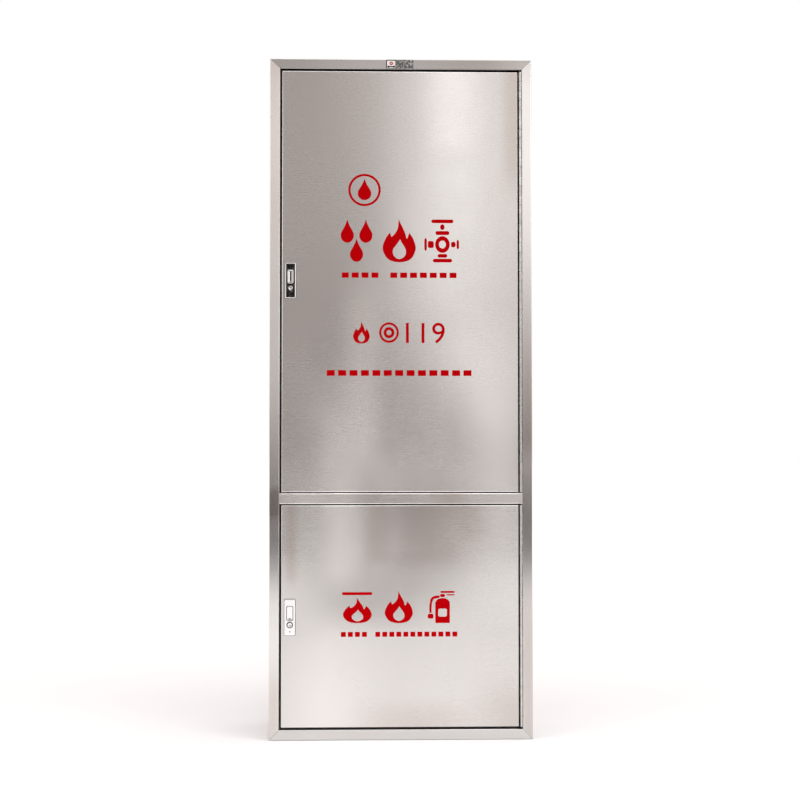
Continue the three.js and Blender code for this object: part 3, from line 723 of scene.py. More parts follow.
def build_door_panel(prefix):
    """A folded pan with openings for the lock, and the rows of spot welds that hold its stiffener."""
    door = DOORS[prefix]
    low, high, lock = door["low"], door["high"], door["lock"]
    left, right = -316, 311.3
    middle = (left + right) / 2
    sheet = 1.2
    deep = 19.2
    far = 20
    r = 3.0
    i = r - sheet
    profile = [(sheet, 12), (sheet, r + 0.8), *arc(r, r, i, 180, 270), (r + 0.8, sheet), (deep - r, sheet)]
    profile += arc(far - r, r, i, 270, 360) + [(far - sheet, r + 0.8), (far - sheet, 14), (far, 14),
                                               (far, r + 0.8)]
    profile += arc(far - r, r, r, 0, -90) + [(deep - r, 0), (r + 0.8, 0)] + arc(r, r, r, 270, 180)
    profile += [(0, r + 0.8), (0, 12)]
    loops = []
    for y, inset in profile:
        shape = rounded_rect(right - left - 2 * inset, high - low - 2 * inset, max(1.4 - inset, 0.3), 3)
        loops.append([(middle + u, DOOR_FACE + y, (low + high) / 2 + v) for u, v in shape])
    face = DOOR_FACE
    cuts = [
        box_data(LOCK_X - 12.3, LOCK_X + 12.3, face - 3, face + 3, lock - 42.3, lock + 42.3, 0.4),
        box_data(left - 3, left + 3, face + 11, face + 17.5, lock + 0.5, lock + 19.5, 0.2),
        box_data(left + 2.4, left + 16, face + 17.6, face + 24, lock - 51.25, lock + 51.25, 0.2),
    ]
    carved(prefix + "_door_skin", loft_data(loops), cuts, prefix + "_door", "door", prefix + "_door_panel")
    dimple = [(0, 2.2), (2.2, 2.25), (3.1, 2.75), (3.6, 2.85), (3.9, 2.4), (0, 2.4)]
    count = int((high - low - 100) / 85)
    welds = [lathe_data(dimple, 20, "y", (middle + side, face, low + 50 + (high - low - 100) * k / count))
             for side in (-39, 39) for k in range(count + 1)]
    make(prefix + "_spot_welds", merged(*welds), prefix + "_door", "door", None, WELD)


build_frame()
for prefix in DOORS:
    build_door_panel(prefix)


# ------------------------------------------------------------------ piano hinges
def knuckle(low, high):
    """One rolled knuckle, hollow round its pin, with eased ends."""
    e = 0.35
    return [(1.55, low), (2.7, low), (3.0, low + e), (3.0, high - e), (2.7, high), (1.55, high), (1.55, low)]


def build_hinge(prefix):
    """A piano hinge: knuckles in turn on the frame's leaf and on the door's, with the leaves' webs behind."""
    door = DOORS[prefix]
    height = door["high"] - door["low"]
    count = 2 * round(height / 52)
    pitch = height / count
    at = Vector((HINGE_X, FRONT, door["low"]))
    sides = {
        "frame_leaf": (0, "cabinet", 1.9, 2.9, 3.6, 20.6, None),
        "door_leaf": (1, prefix + "_door", -5.6, -4.6, 3.6, 18.6, (-5.0, 1.7)),
    }
    for key, (parity, body, x0, x1, y0, y1, bridge) in sides.items():
        parts = []
        webs = [moved(box_data(x0, x1, y0, y1, 0, height, 0.3), Matrix.Translation(at))]
        for i in range(parity, count, 2):
            low = i * pitch + 0.45
            high = (i + 1) * pitch - 0.45
            parts.append(lathe_data(knuckle(low, high), 20, "z", at))
            if bridge:
                webs.append(moved(box_data(-5.6, -2.7, 1.7, 2.8, low, high, 0.2), Matrix.Translation(at)))
                webs.append(moved(box_data(-5.6, -4.6, 1.7, 4.4, low, high, 0.2), Matrix.Translation(at)))
            else:
                parts.append(moved(box_data(1.9, 2.9, 0.1, 4.4, low, high, 0.2), Matrix.Translation(at)))
        node = prefix + "_hinge_" + key
        leaf = prefix + "_piano_" + key
        make(leaf, merged(*parts), body, "hinge", node)
        # The webs behind the knuckles are near-black: painted shade.
        make(leaf + "_strip", merged(*webs), body, "hinge", node, HINGE_WEB_SHADE)


for prefix in DOORS:
    build_hinge(prefix)


# ------------------------------------------------------------------ locks
def build_lock(prefix):
    """A flush lock: chrome plate on a gasket, case behind it, push paddle and key plug.
    The gasket's black rim, the near-black case and a black ring round the plug are painted shade round the
    plate, in its openings and round the plug.
    """
    z = DOORS[prefix]["lock"]
    y = DOOR_FACE
    mount = prefix + "_door"
    lock = prefix + "_lock_"
    at = (LOCK_X, y, z)
    paddle_at = (LOCK_X, y, z + 10)
    key_at = (LOCK_X, 0, z - 20)
    pocket = plate_data(18.4, 39.2, 4.6, [(-6, 0), (9.5, 0)], paddle_at, 8)
    bore = lathe_data(rod(7.6, y - 6, y + 16), 48, "y", key_at)
    openings = [pocket, bore]

    plate = plate_data(28.5, 94.5, 3.2, [
        (-0.35, 0), (-1.3, 0), (-1.8, 0.35), (-2.0, 0.9), (-2.0, 1.7), (-1.7, 2.15), (-1.25, 2.3)], at, 8)
    carved(lock + "plate", plate, openings, mount, "lock", lock + "case", None, 28)
    case = box_data(LOCK_X - 12, LOCK_X + 12, y - 1.0, y + 18.5, z - 42, z + 42, 1.2)
    channel = box_data(LOCK_X - 14, LOCK_X + 10, y + 11.2, y + 17.3, z + 0.7, z + 19.3, 0.1)
    carved(lock + "body", case, [*openings, channel], mount, "zinc", lock + "case", SHADE_BLACK_STEEL, 28)
    # A black ring round the key plug: painted shade in the gap round it.
    rim = torus_data(8.1, 0.6, (LOCK_X, y - 1.35, z - 20), "y", 48, 10)
    make(prefix + "_key_bezel", rim, mount, "lock", None, SHADE_BLACK_STEEL)
    # The black gasket under the plate shows as a dark rim round it: painted shade along the plate's edge.
    seal = plate_data(30.5, 96.5, 4.0, [(-0.02, 0), (-0.4, 0), (-0.5, 0.2), (-0.5, 1.5)], at, 8)
    carved(lock + "gasket", seal, openings, mount, "hose_rubber")
    mark = plate_data(5.2, 1.6, 0.7, [(-1.2, 0), (-1.32, 0), (-1.36, 0.1)], (LOCK_X, y, z - 38), 4)
    make(lock + "mark", mark, mount, "print", None, BLACK_PRINT)

    paddle = plate_data(15.6, 36.4, 3.6, [
        (3.4, 0), (-1.4, 0), (-2.1, 0.3), (-2.45, 0.9), (-2.45, 1.7), (-2.2, 2.4), (-1.9, 3.6), (-1.75, 6.0),
    ], paddle_at, 8)
    make(lock + "paddle", paddle, lock + "button", "lock", lock + "button", None, 40)

    core = lathe_data([
        (0, y + 13.8), (6.6, y + 13.8), (6.6, y - 1.5), (6.2, y - 2.1), (5.4, y - 2.35), (4.9, y - 2.35),
        (4.7, y - 2.0), (4.5, y - 1.9), (0, y - 1.9),
    ], 48, "y", key_at)
    keyway = box_data(LOCK_X - 0.8, LOCK_X + 0.8, y - 6, y + 4, z - 24, z - 16, 0.2)
    ward = box_data(LOCK_X - 0.8, LOCK_X + 1.9, y - 6, y + 3, z - 20.8, z - 19.6, 0.2)
    carved(lock + "plug", core, [keyway, ward], lock + "key", "lock", lock + "cylinder", None, 28)


for prefix in DOORS:
    build_lock(prefix)


# ------------------------------------------------------------------ pictograms and print on the doors
def circle_points(cx, cy, r, n=40, start=0.0):
    """Points spaced evenly on a circle, from the angle start in degrees."""
    turns = [math.radians(start) + 2 * math.pi * i / n for i in range(n)]
    return [(cx + r * math.cos(a), cy + r * math.sin(a)) for a in turns]


def bar(x0, x1, y0, y1, r=None):
    """A block with rounded corners."""
    w = x1 - x0
    h = y1 - y0
    r = min(w, h) * 0.18 if r is None else r
    return [((x0 + x1) / 2 + u, (y0 + y1) / 2 + v) for u, v in rounded_rect(w, h, max(r, 0.05), 4)]


def spline(points, steps=7):
    """A closed Catmull-Rom curve; a point given twice is a sharp corner."""
    n = len(points)
    out = []
    for i in range(n):
        p0, p1, p2, p3 = (Vector(points[(i + k) % n]) for k in (-1, 0, 1, 2))
        if (p2 - p1).length < 1e-9:
            continue
        for k in range(steps):
            t = k / steps
            out.append(tuple(0.5 * (2 * p1 + (p2 - p0) * t + (2 * p0 - 5 * p1 + 4 * p2 - p3) * t * t
                                    + (3 * p1 - p0 - 3 * p2 + p3) * t ** 3)))
    return out


def fitted(shapes, width, height, cx, cz):
    """The shapes scaled to a box and moved to (cx, cz)."""
    us = [u for s in shapes for u, v in s]
    vs = [v for s in shapes for u, v in s]
    ku = width / (max(us) - min(us))
    kv = height / (max(vs) - min(vs))
    mu = (max(us) + min(us)) / 2
    mv = (max(vs) + min(vs)) / 2
    return [[(cx + (u - mu) * ku, cz + (v - mv) * kv) for u, v in s] for s in shapes]


def printed(name, shapes, body, material, y, thick=0.12):
    """Flat shapes in X and Z, a film thick, on the plane y. Shapes inside shapes are holes."""
    curve = bpy.data.curves.new(name, "CURVE")
    curve.dimensions = "2D"
    curve.fill_mode = "BOTH"
    curve.extrude = thick * MM / 2
    for shape in shapes:
        line = curve.splines.new("POLY")
        line.points.add(len(shape) - 1)
        line.use_cyclic_u = True
        for p, (u, v) in zip(line.points, shape):
            p.co = (u * MM, v * MM, 0, 1)
    mesh = applied(name, add("temp", curve))
    upright = Matrix.Rotation(math.pi / 2, 4, "X")
    mesh.transform(Matrix.Translation((0, (y - thick / 2) * MM, 0)) @ upright)
    return piece(name, mesh, body, material, 30)


FLAME = spline([
    (0.00, -0.50), (0.30, -0.42), (0.44, -0.16), (0.38, 0.10), (0.27, 0.27), (0.27, 0.27), (0.20, 0.12),
    (0.14, 0.30), (-0.02, 0.62), (-0.02, 0.62), (-0.05, 0.36), (-0.20, 0.17), (-0.25, 0.28), (-0.25, 0.28),
    (-0.38, 0.10), (-0.45, -0.16), (-0.30, -0.42),
])
FLAME_HEART = spline([
    (0.00, -0.42), (0.15, -0.33), (0.17, -0.17), (0.06, 0.02), (0.02, 0.10), (0.02, 0.10), (-0.06, -0.02),
    (-0.17, -0.17), (-0.15, -0.33),
])


def drop(cx, cy, r):
    """A water drop with its point up."""
    points = []
    for i in range(36):
        a = 2 * math.pi * i / 36
        lift = max(0.0, math.sin(a)) ** 6
        points.append((cx + r * math.cos(a) * (1 - 0.75 * lift), cy + r * math.sin(a) + r * 1.15 * lift))
    return points


REEL_SIGN = [circle_points(0, 0, r, 56) for r in (0.46, 0.36, 0.25, 0.12)]
HYDRANT_SIGN = [
    bar(-0.32, 0.32, 0.44, 0.53), bar(-0.06, 0.06, 0.27, 0.41), bar(-0.20, 0.20, 0.14, 0.24, 0.04),
    circle_points(0, -0.10, 0.21, 44), circle_points(0, -0.10, 0.10, 32),
    bar(-0.42, -0.25, -0.19, -0.01, 0.02), bar(-0.52, -0.45, -0.26, 0.06, 0.02),
    bar(0.25, 0.38, -0.17, -0.03, 0.02), bar(0.41, 0.48, -0.22, 0.02, 0.02),
    bar(-0.14, 0.14, -0.43, -0.34, 0.02), bar(-0.28, 0.28, -0.55, -0.46, 0.02),
]
TANK = [(-0.2, -0.5), (0.2, -0.5)] + [
    (0.2 * math.cos(math.pi * i / 16), 0.12 + 0.16 * math.sin(math.pi * i / 16)) for i in range(17)]
TANK_HOSE = spline([
    (-0.10, 0.36), (-0.30, 0.30), (-0.36, 0.05), (-0.36, -0.18), (-0.36, -0.18), (-0.30, -0.18),
    (-0.30, -0.18), (-0.30, 0.04), (-0.25, 0.24), (-0.10, 0.29),
])
EXTINGUISHER_SIGN = [
    TANK, bar(-0.07, 0.07, 0.31, 0.41, 0.01), bar(-0.07, 0.34, 0.44, 0.50, 0.02), TANK_HOSE,
    bar(0.10, 0.34, 0.36, 0.40, 0.01), bar(-0.41, -0.25, -0.36, -0.21, 0.02),
    bar(-0.12, 0.12, -0.30, -0.05, 0.02),
]
DROPS_SIGN = [drop(-0.24, 0.10, 0.17), drop(0.24, 0.10, 0.17), drop(0.0, -0.34, 0.17)]
FLAME_SIGN = [FLAME, FLAME_HEART]

# The signs on the doors: name, shapes, width, height, X and Z of the middle.
UPPER_SIGNS = [
    ("water_print", DROPS_SIGN, 84, 112, -118, 1315),
    ("flame_print", FLAME_SIGN, 88, 114, -5, 1315),
    ("hydrant_print", HYDRANT_SIGN, 92, 114, 108, 1315),
    ("small_flame_print", FLAME_SIGN, 44, 58, -105, 1071),
    ("reel_print", REEL_SIGN, 52, 54, -32, 1071),
]
LOWER_SIGNS = [
    ("lower_flame_print", FLAME_SIGN, 74, 83, -6, 346.5),
    ("extinguisher_print", EXTINGUISHER_SIGN, 72, 84, 106, 347),
]


def greeked(total, height, cz, words):
    """A row of plain upright blocks that keeps a line's length: words holds the block count of each word."""
    margin = 0.15
    space = 0.9
    unit = total / (sum(words) + (len(words) - 1) * space)
    shapes = []
    x = -5 - total / 2
    for count in words:
        for _ in range(count):
            ends = (x + unit * margin, x + unit * (1 - margin))
            shapes.append(bar(*ends, cz - height / 2, cz + height / 2, 0.6))
            x += unit
        x += unit * space
    return shapes


def print_doors():
    """The red signs on both doors, with plain blocks in place of lettering."""
    red = MATERIALS["print"]
    y = DOOR_FACE
    upper, lower = "upper_door", "lower_door"
    emblem = [circle_points(-97, 1450, 43, 64), circle_points(-97, 1450, 37, 64), drop(-97, 1441, 18)]
    printed("emblem_print", emblem, upper, red, y)
    for body, signs in ((upper, UPPER_SIGNS), (lower, LOWER_SIGNS)):
        for name, shapes, *place in signs:
            printed(name, fitted(shapes, *place), body, red, y)
    smothered = fitted(FLAME_SIGN, 76, 66, -115, 338.5) + [bar(-155, -76, 379, 386.5, 1.5)]
    printed("smothered_flame_print", smothered, lower, red, y)
    printed("rule_print_1", greeked(312, 14, 1223.5, (4, 7)), upper, red, y)
    printed("rule_print_2", greeked(392, 15, 964, (13,)), upper, red, y)
    printed("rule_print_3", greeked(312, 13, 276, (4, 12)), lower, red, y)

    digits = bpy.data.curves.new("digits", "FONT")
    digits.body = "119"
    digits.size = 0.078
    digits.space_character = 1.06
    digits.extrude = 0.00006
    digits.align_x = "CENTER"
    mesh = applied("number_print", add("temp", digits))
    upright = Matrix.Rotation(math.pi / 2, 4, "X")
    mesh.transform(Matrix.Translation((0.058, (y - 0.06) * MM, 1.0435)) @ upright)
    piece("number_print", mesh, upper, red, 30)


print_doors()


def build_label():
    """A patterned film with a white panel that holds a ring and a bar, and four plain lines beside it."""
    y = FRONT - 0.3
    film_mesh = plate_data(73, 24, 1.0, [(0, 0), (-0.28, 0), (-0.32, 0.1)], (-3.5, y, 1786.5), 4)
    make("label_base", film_mesh, "cabinet", "print", "inspection_label", GREY_PRINT)
    top = y - 0.32
    over = top - 0.04
    panel = bar(-37.3, -15.0, 1775.9, 1796.0, 0.8)
    border = [bar(-39.6, -13.2, 1775.0, 1797.9, 1.2), panel]
    printed("label_border", border, "cabinet", BLACK_PRINT, top, 0.04)
    printed("label_field", [panel], "cabinet", WHITE_PRINT, top, 0.04)
    ring = [circle_points(-26.3, 1788.6, 4.6, 28), circle_points(-26.3, 1788.6, 1.8, 24)]
    printed("label_dot", ring, "cabinet", MATERIALS["print"], over, 0.03)
    lines = [bar(-10, 5, 1792.4, 1793.6, 0.2), bar(-10, 17, 1788.6, 1789.6, 0.2)]
    lines += [bar(-10, 13, 1784.8, 1785.8, 0.2), bar(-10, 29, 1779.4, 1780.4, 0.2)]
    printed("label_bars_2", lines, "cabinet", BLACK_PRINT, top, 0.03)
    marks = [bar(-34.5, -18, 1778.2, 1781.2, 0.4), circle_points(-33.6, 1779.7, 2.9, 20),
             circle_points(-19.0, 1779.7, 2.9, 20)]
    for k, shape in enumerate(marks):
        printed(f"label_bars_{k + 3}", [shape], "cabinet", BLACK_PRINT, over - 0.001 * k, 0.03)


build_label()


# ------------------------------------------------------------------ fittings behind the doors
def hexagon(r, low, high, axis="z", at=(0, 0, 0), bore=0.0, chamfer=1.2):
    """A nut blank with its ends chamfered; bore is the circle inside the hexagonal hole."""
    inner = bore / math.cos(math.pi / 6)
    rim = [(r - chamfer, low), (r, low + chamfer), (r, high - chamfer), (r - chamfer, high)]
    profile = [(inner, low)] + rim + [(inner, high)]
    if bore:
        profile.append((inner, low))
    return lathe_data(profile, 6, axis, at)


def threaded(r, low, high, pitch=2.0, depth=0.9):
    """Profile points of a thread as a row of ridges."""
    count = int((high - low) / pitch)
    points = []
    for i in range(count):
        points += [(r, low + i * pitch), (r, low + (i + 0.3) * pitch), (r - depth, low + (i + 0.65) * pitch)]
    return points


def ribbed(r, low, high, count, depth=1.0):
    """Profile points of a row of rounded ribs."""
    steps = 6 * count
    return [(r - depth * (0.5 - 0.5 * math.cos(2 * math.pi * i / 6)), low + (high - low) * i / steps)
            for i in range(steps + 1)]


def screws(points, axis, r=4.0, height=2.2):
    """Pan heads with a hexagon recess; points are their seats and axis the way they face."""
    sign = -1 if axis[0] == "-" else 1
    parts = []
    for p in points:
        parts.append(lathe_data([
            (0, 0), (r, 0), (r, sign * height * 0.45), (r * 0.78, sign * height * 0.9),
            (r * 0.5, sign * height), (r * 0.46, sign * height), (r * 0.44, sign * height * 0.45),
            (0, sign * height * 0.4),
        ], 24, axis[-1], p))
    return merged(*parts)


VALVE_PLACE = Matrix.Translation((215, 15, 785.3)) @ Matrix.Rotation(math.radians(10), 4, "Z")
WHEEL_Z = 186


def valve_part(name, data, body, slot, node=None):
    """A piece that is given in the landing valve's own frame."""
    make(name, moved(data, VALVE_PLACE), body, slot, node)


def build_valve():
    """The landing valve in its own frame: inlet down at the origin, outlet towards -X."""
    side = (0, 0, 62)
    globe = lathe_data([
        (0, 17), (37, 17), (37.5, 24), (39.5, 28), (45, 35), (50.5, 43), (54.4, 52), (56, 62), (54.4, 72),
        (50.6, 81), (45.6, 88), (41, 94), (40.2, 98), (44, 100.2), (45.4, 101.4), (46, 103), (46, 110.6),
        (45, 112), (0, 112),
    ], 72)
    branch = lathe_data([
        (0, -95.8), (33.6, -95.8), (35.4, -94.4), (36, -92), (36, -74), (36, -60), (37, -54), (41, -44),
        (46, -30), (46, 0), (0, 0),
    ], 56, "x", side)
    arrow = plate_data(26, 5, 0.8, [(0, 0), (-2.2, 0.2), (-2.6, 0.7)], (0, -54.2, 62), 3)
    head = moved(lathe_data([(0, 0), (8, 0), (7.4, 2.4), (6.8, 2.8), (0, 2.8)], 3, "y"),
                 Matrix.Translation((-15, -57, 62)) @ Matrix.Rotation(math.pi, 4, "Y"))
    body = merged(hexagon(44.5, 0, 20, chamfer=2), globe, branch,
                  hexagon(43.6, -72, -60, "x", side, chamfer=2), arrow, head)
    valve_part("landing_valve_casting", body, "cabinet", "valve_iron", "valve_body")

    base = 112.3
    bonnet = [lathe_data([(r, base + h) for r, h in [
        (9.3, 0), (45, 0), (46, 1), (46, 9), (45, 10), (33, 10.6), (28, 12.4), (25.5, 17), (24, 26), (22, 36),
        (20, 39.5), (17, 40.8), (9.3, 40.8), (9.3, 0),
    ]], 64)]
    bonnet.append(hexagon(16.4, base + 41, base + 52, bore=9.4))
    valve_part("landing_valve_bonnet", merged(*bonnet), "cabinet", "valve_iron", "valve_bonnet")
    bolts = []
    for x, y in circle_points(0, 0, 38.5, 6, 30):
        end = [(0, base + 15), (2.8, base + 15), (2.8, base + 17.6), (2.2, base + 18.2), (0, base + 18.2)]
        bolts.append(hexagon(5.6, base + 10, base + 15.4, "z", (x, y, 0), chamfer=0.7))
        bolts.append(lathe_data(end, 20, "z", (x, y, 0)))
    valve_part("bonnet_bolts", merged(*bolts), "cabinet", "zinc")

    stem = [(0, 0), (8, 0)] + threaded(9, 1, 57)
    stem += [(9, 58), (8.8, 60), (6, 61.8), (6, 86.8), (5, 88), (0, 88)]
    spindle = lathe_data([(r, h + 114) for r, h in stem], 40)
    valve_part("spindle", spindle, "valve_stem", "brass", "valve_stem")

    around = 150
    loops = []
    for i in range(around + 1):
        a = 2 * math.pi * i / around
        rim = circle_points(62, WHEEL_Z, 6.55 + 0.45 * math.cos(15 * a), 16)
        loops.append([(r * math.cos(a), r * math.sin(a), z) for r, z in rim])
    wheel = [loft_data(loops, False)]
    arm = ((11, 7.0, 3.4, -1), (18, 5.2, 3.2, -1), (30, 4.0, 2.8, -0.6), (46, 3.8, 2.8, 0), (55, 4.6, 3.2, 0),
           (60, 6.0, 3.6, 0))
    sections = [[(r, half * u, WHEEL_Z + sag + thick * v) for u, v in circle_points(0, 0, 1, 14)]
                for r, half, thick, sag in arm]
    for i in range(5):
        wheel.append(moved(loft_data(sections), Matrix.Rotation(2 * math.pi * i / 5, 4, "Z")))
    wheel.append(lathe_data([(r, WHEEL_Z + h) for r, h in [
        (6.4, -9), (14, -9), (15.8, -7.6), (16, -2), (16, 7), (15, 9.4), (12, 10), (6.4, 10), (6.4, -9),
    ]], 48))
    valve_part("cast_handwheel", merged(*wheel), "handwheel", "valve_iron", "valve_handwheel")
    nut = hexagon(10, WHEEL_Z + 10.2, WHEEL_Z + 15.4, bore=6.3, chamfer=0.8)
    valve_part("wheel_nut", nut, "handwheel", "zinc")

    ring = lathe_data([
        (30, -140), (40.6, -140), (42, -138.6), (42, -133.4), (43, -132), (48, -130.6), (49, -129.2),
        (49, -126.2), (47.8, -125.2), (47.8, -123), (49, -122), (49, -119.4), (47.8, -118.4), (47.8, -116.2),
        (49, -115.2), (49, -113), (48, -111.4), (44.6, -110.4), (44, -109), (44, -97.2), (43, -96.3),
        (30, -96.3), (30, -140),
    ], 72, "x", side)
    lugs = []
    for way in (1, -1):
        low, high = sorted((62 + way * 36, 62 + way * 46))
        lugs.append(box_data(-146, -134, -8, 8, low, high, 2.0))
        tip = sorted((62 + way * 33, 62 + way * 37))
        lugs.append(box_data(-146, -142.6, -8, 8, *tip, 1.0))
    valve_part("outlet_ring", merged(ring, *lugs), "cabinet", "coupling_alloy", "outlet_coupling")
    valve_part("outlet_seal", torus_data(33.5, 2.6, (-139.2, 0, 62), "x", 56, 12), "cabinet", "hose_rubber")


def build_riser():
    """The elbow under the valve, with its weld, collar and the trim in the side wall."""
    path = bend([(335.3, 15, 715), (215, 15, 715), (215, 15, 785)], 60, 18)
    outer = tube_loops(path, 37.7, 48)
    inner = tube_loops(path, 34.0, 48)
    shell = loft_data(outer + inner[::-1] + outer[:1], False)
    make("riser_elbow", shell, "cabinet", "zinc", "inlet_elbow")
    collar = [(37.8, 0), (41, 0), (42.4, 1.4), (42.4, 15), (41, 16.6), (37.8, 16.6), (37.8, 0)]
    weld = [(37.4, -3), (39.4, -1.6), (39.9, 0), (39.4, 1.6), (37.4, 3), (37.4, -3)]
    parts = [
        lathe_data(collar, 64, "z", (215, 15, 766)),
        lathe_data(weld, 64, "x", (287.3, 15, 715)),
    ]
    make("riser_collar", merged(*parts), "cabinet", "zinc")
    trim = ((39.4, 343), (46.5, 343), (47.6, 343.8), (47.6, 345.2), (46.6, 346), (41.7, 346), (41.7, 347.2),
            (39.4, 347.2), (39.4, 343))
    loops = [[(px, 15 + u, 715 + v) for u, v in rounded_rect(2 * half, 2 * half, 4, 5)] for half, px in trim]
    make("riser_trim", loft_data(loops, False), "cabinet", "hose_rubber")


REEL_Z = 1490
REEL_FRONT = -58.8
REEL_BACK = 78.5
REEL_HOSE = 11.8


def build_reel():
    """The swinging hose reel: pressed flanges, hose in layers, nozzle, axle and wall plate."""
    hub = (0, 0, REEL_Z)
    f = REEL_FRONT
    front = [
        (16.5, f), (38, f), (41, f + 0.8), (45, f + 3.0), (88, f + 3.0), (92, f + 2.2), (96, f + 0.4),
        (99, f), (204, f), (207, f + 0.5), (211, f + 2.6), (227, f + 2.6), (231, f + 0.6), (235, f),
        (238.2, f + 0.4), (239.6, f + 1.6), (240, f + 3.2), (240, f + 7.6), (239.6, f + 8), (238.6, f + 8),
        (238.2, f + 7.6), (238.2, f + 3.6), (236.6, f + 2.5), (232, f + 2.8), (228, f + 4.6), (210, f + 4.6),
        (206, f + 2.7), (203, f + 2.2), (100, f + 2.2), (96, f + 2.6), (90, f + 5.2), (44, f + 5.2),
        (40, f + 2.6), (16.5, f + 2.5), (16.5, f),
    ]
    holes = circle_points(0, REEL_Z, 156, 6)
    windows = [lathe_data(rod(34, f - 6, f + 8), 48, "y", (x, 0, z)) for x, z in holes]
    carved("reel_front_disc", lathe_data(front, 120, "y", hub), windows, "reel", "red_enamel",
           "reel_front_flange", None, 40)
    rims = [torus_data(34.2, 1.5, (x, f + 1.2, z), "y", 48, 10) for x, z in holes]
    make("reel_window_beads", merged(*rims), "reel", "red_enamel")

    b = REEL_BACK
    spool = [
        (16.5, -56), (24.5, -56), (24.5, 60), (84, 60), (84, -56), (90, -56), (90, b - 2.5), (204, b - 2.5),
        (208, b - 2.0), (212, b - 0.3), (226, b - 0.3), (230, b - 2.0), (234, b - 2.5), (238, b - 3.2),
        (238, b - 8.5), (239, b - 8.5), (240, b - 7.6), (240, b - 3), (239.4, b - 1.2), (238, b - 0.2),
        (232, b), (84, b), (84, 64), (16.5, 64), (16.5, -56),
    ]
    pressing = lathe_data(spool, 120, "y", hub)
    make("reel_spool_pressing", pressing, "reel", "red_enamel", "reel_spool", None, 40)
    rivets = screws([(x, f + 3.0, z) for x, z in circle_points(0, REEL_Z, 64, 4, 45)], "-y", 5, 2.6)
    make("reel_hub_screws", rivets, "reel", "zinc")

    turns = 4.25
    climb_turns = 0.5
    low = f + 8.8 + REEL_HOSE
    high = b - 3.6 - REEL_HOSE
    exit_y = 18
    last_turns = turns * (exit_y - low) / (high - low)
    full_layers = 4
    total = full_layers * (turns + climb_turns) + last_turns
    steps = int(total * 44)
    points = []
    for i in range(steps + 1):
        turned = total * i / steps
        layer = min(int(turned / (turns + climb_turns)), full_layers)
        along = turned - layer * (turns + climb_turns)
        across = min(along, turns) / turns
        if layer % 2:
            across = 1 - across
        climb = max(0.0, along - turns) / climb_turns
        r = 90.6 + REEL_HOSE + 24.6 * (layer + climb * climb * (3 - 2 * climb))
        a = math.radians(225) + 2 * math.pi * (turned - total)
        points.append(Vector((r * math.cos(a), low + (high - low) * across, REEL_Z + r * math.sin(a))))
    start = points[-1]
    end = Vector((-64, exit_y, REEL_Z - 236))
    bow = start + Vector((28, 0, -28))
    rise = end - Vector((40, 0, 0))
    for i in range(1, 15):
        t = i / 14
        points.append(start * (1 - t) ** 3 + bow * 3 * t * (1 - t) ** 2 + rise * 3 * t * t * (1 - t)
                      + end * t ** 3)
    make("wound_reel_hose", tube_data(points, REEL_HOSE, 12), "reel", "hose_rubber", "reel_hose")

    nozzle = [(0, -70), (10, -70)] + ribbed(12.6, -68, -44, 5, 1.2) + [(12.6, -42), (13, -40), (13, -12)]
    nozzle += ribbed(13, -10, 2, 4, 0.8) + [
        (12, 5), (10, 10), (9, 22), (7.4, 50), (7.4, 54), (9, 59), (9, 68), (8.4, 70), (4, 70), (4, 62),
        (0, 62),
    ]
    make("jet_nozzle", lathe_data(nozzle, 40, "x", (0, exit_y, end.z)), "reel", "brass", "reel_nozzle")

    axle = [(0, f - 12), (12.6, f - 12), (14, f - 10.8), (14, f - 9.4), (22.6, f - 9), (24, f - 7.8),
            (24, f - 2), (23, f - 1), (16, f - 1), (16, 79.5), (26, 79.5), (26, 112.6), (0, 112.6)]
    make("reel_spindle", lathe_data(axle, 64, "y", hub), "cabinet", "zinc", "reel_axle")
    plate = merged(
        plate_data(140, 180, 8, [(0, 0.6), (-0.6, 0), (-3.4, 0), (-4, 0.6)], (0, 120, REEL_Z), 6),
        plate_data(80, 80, 10, [(0, 0), (-3, 0), (-3.8, 0.8)], (0, 116, REEL_Z), 6),
    )
    make("reel_wall_plate", plate, "cabinet", "zinc", "reel_bracket")
    nuts = [hexagon(8, 109.4, 115.9, "y", (x, 0, REEL_Z + z)) for x in (-52, 52) for z in (-72, 72)]
    make("reel_plate_bolts", merged(*nuts), "cabinet", "zinc")


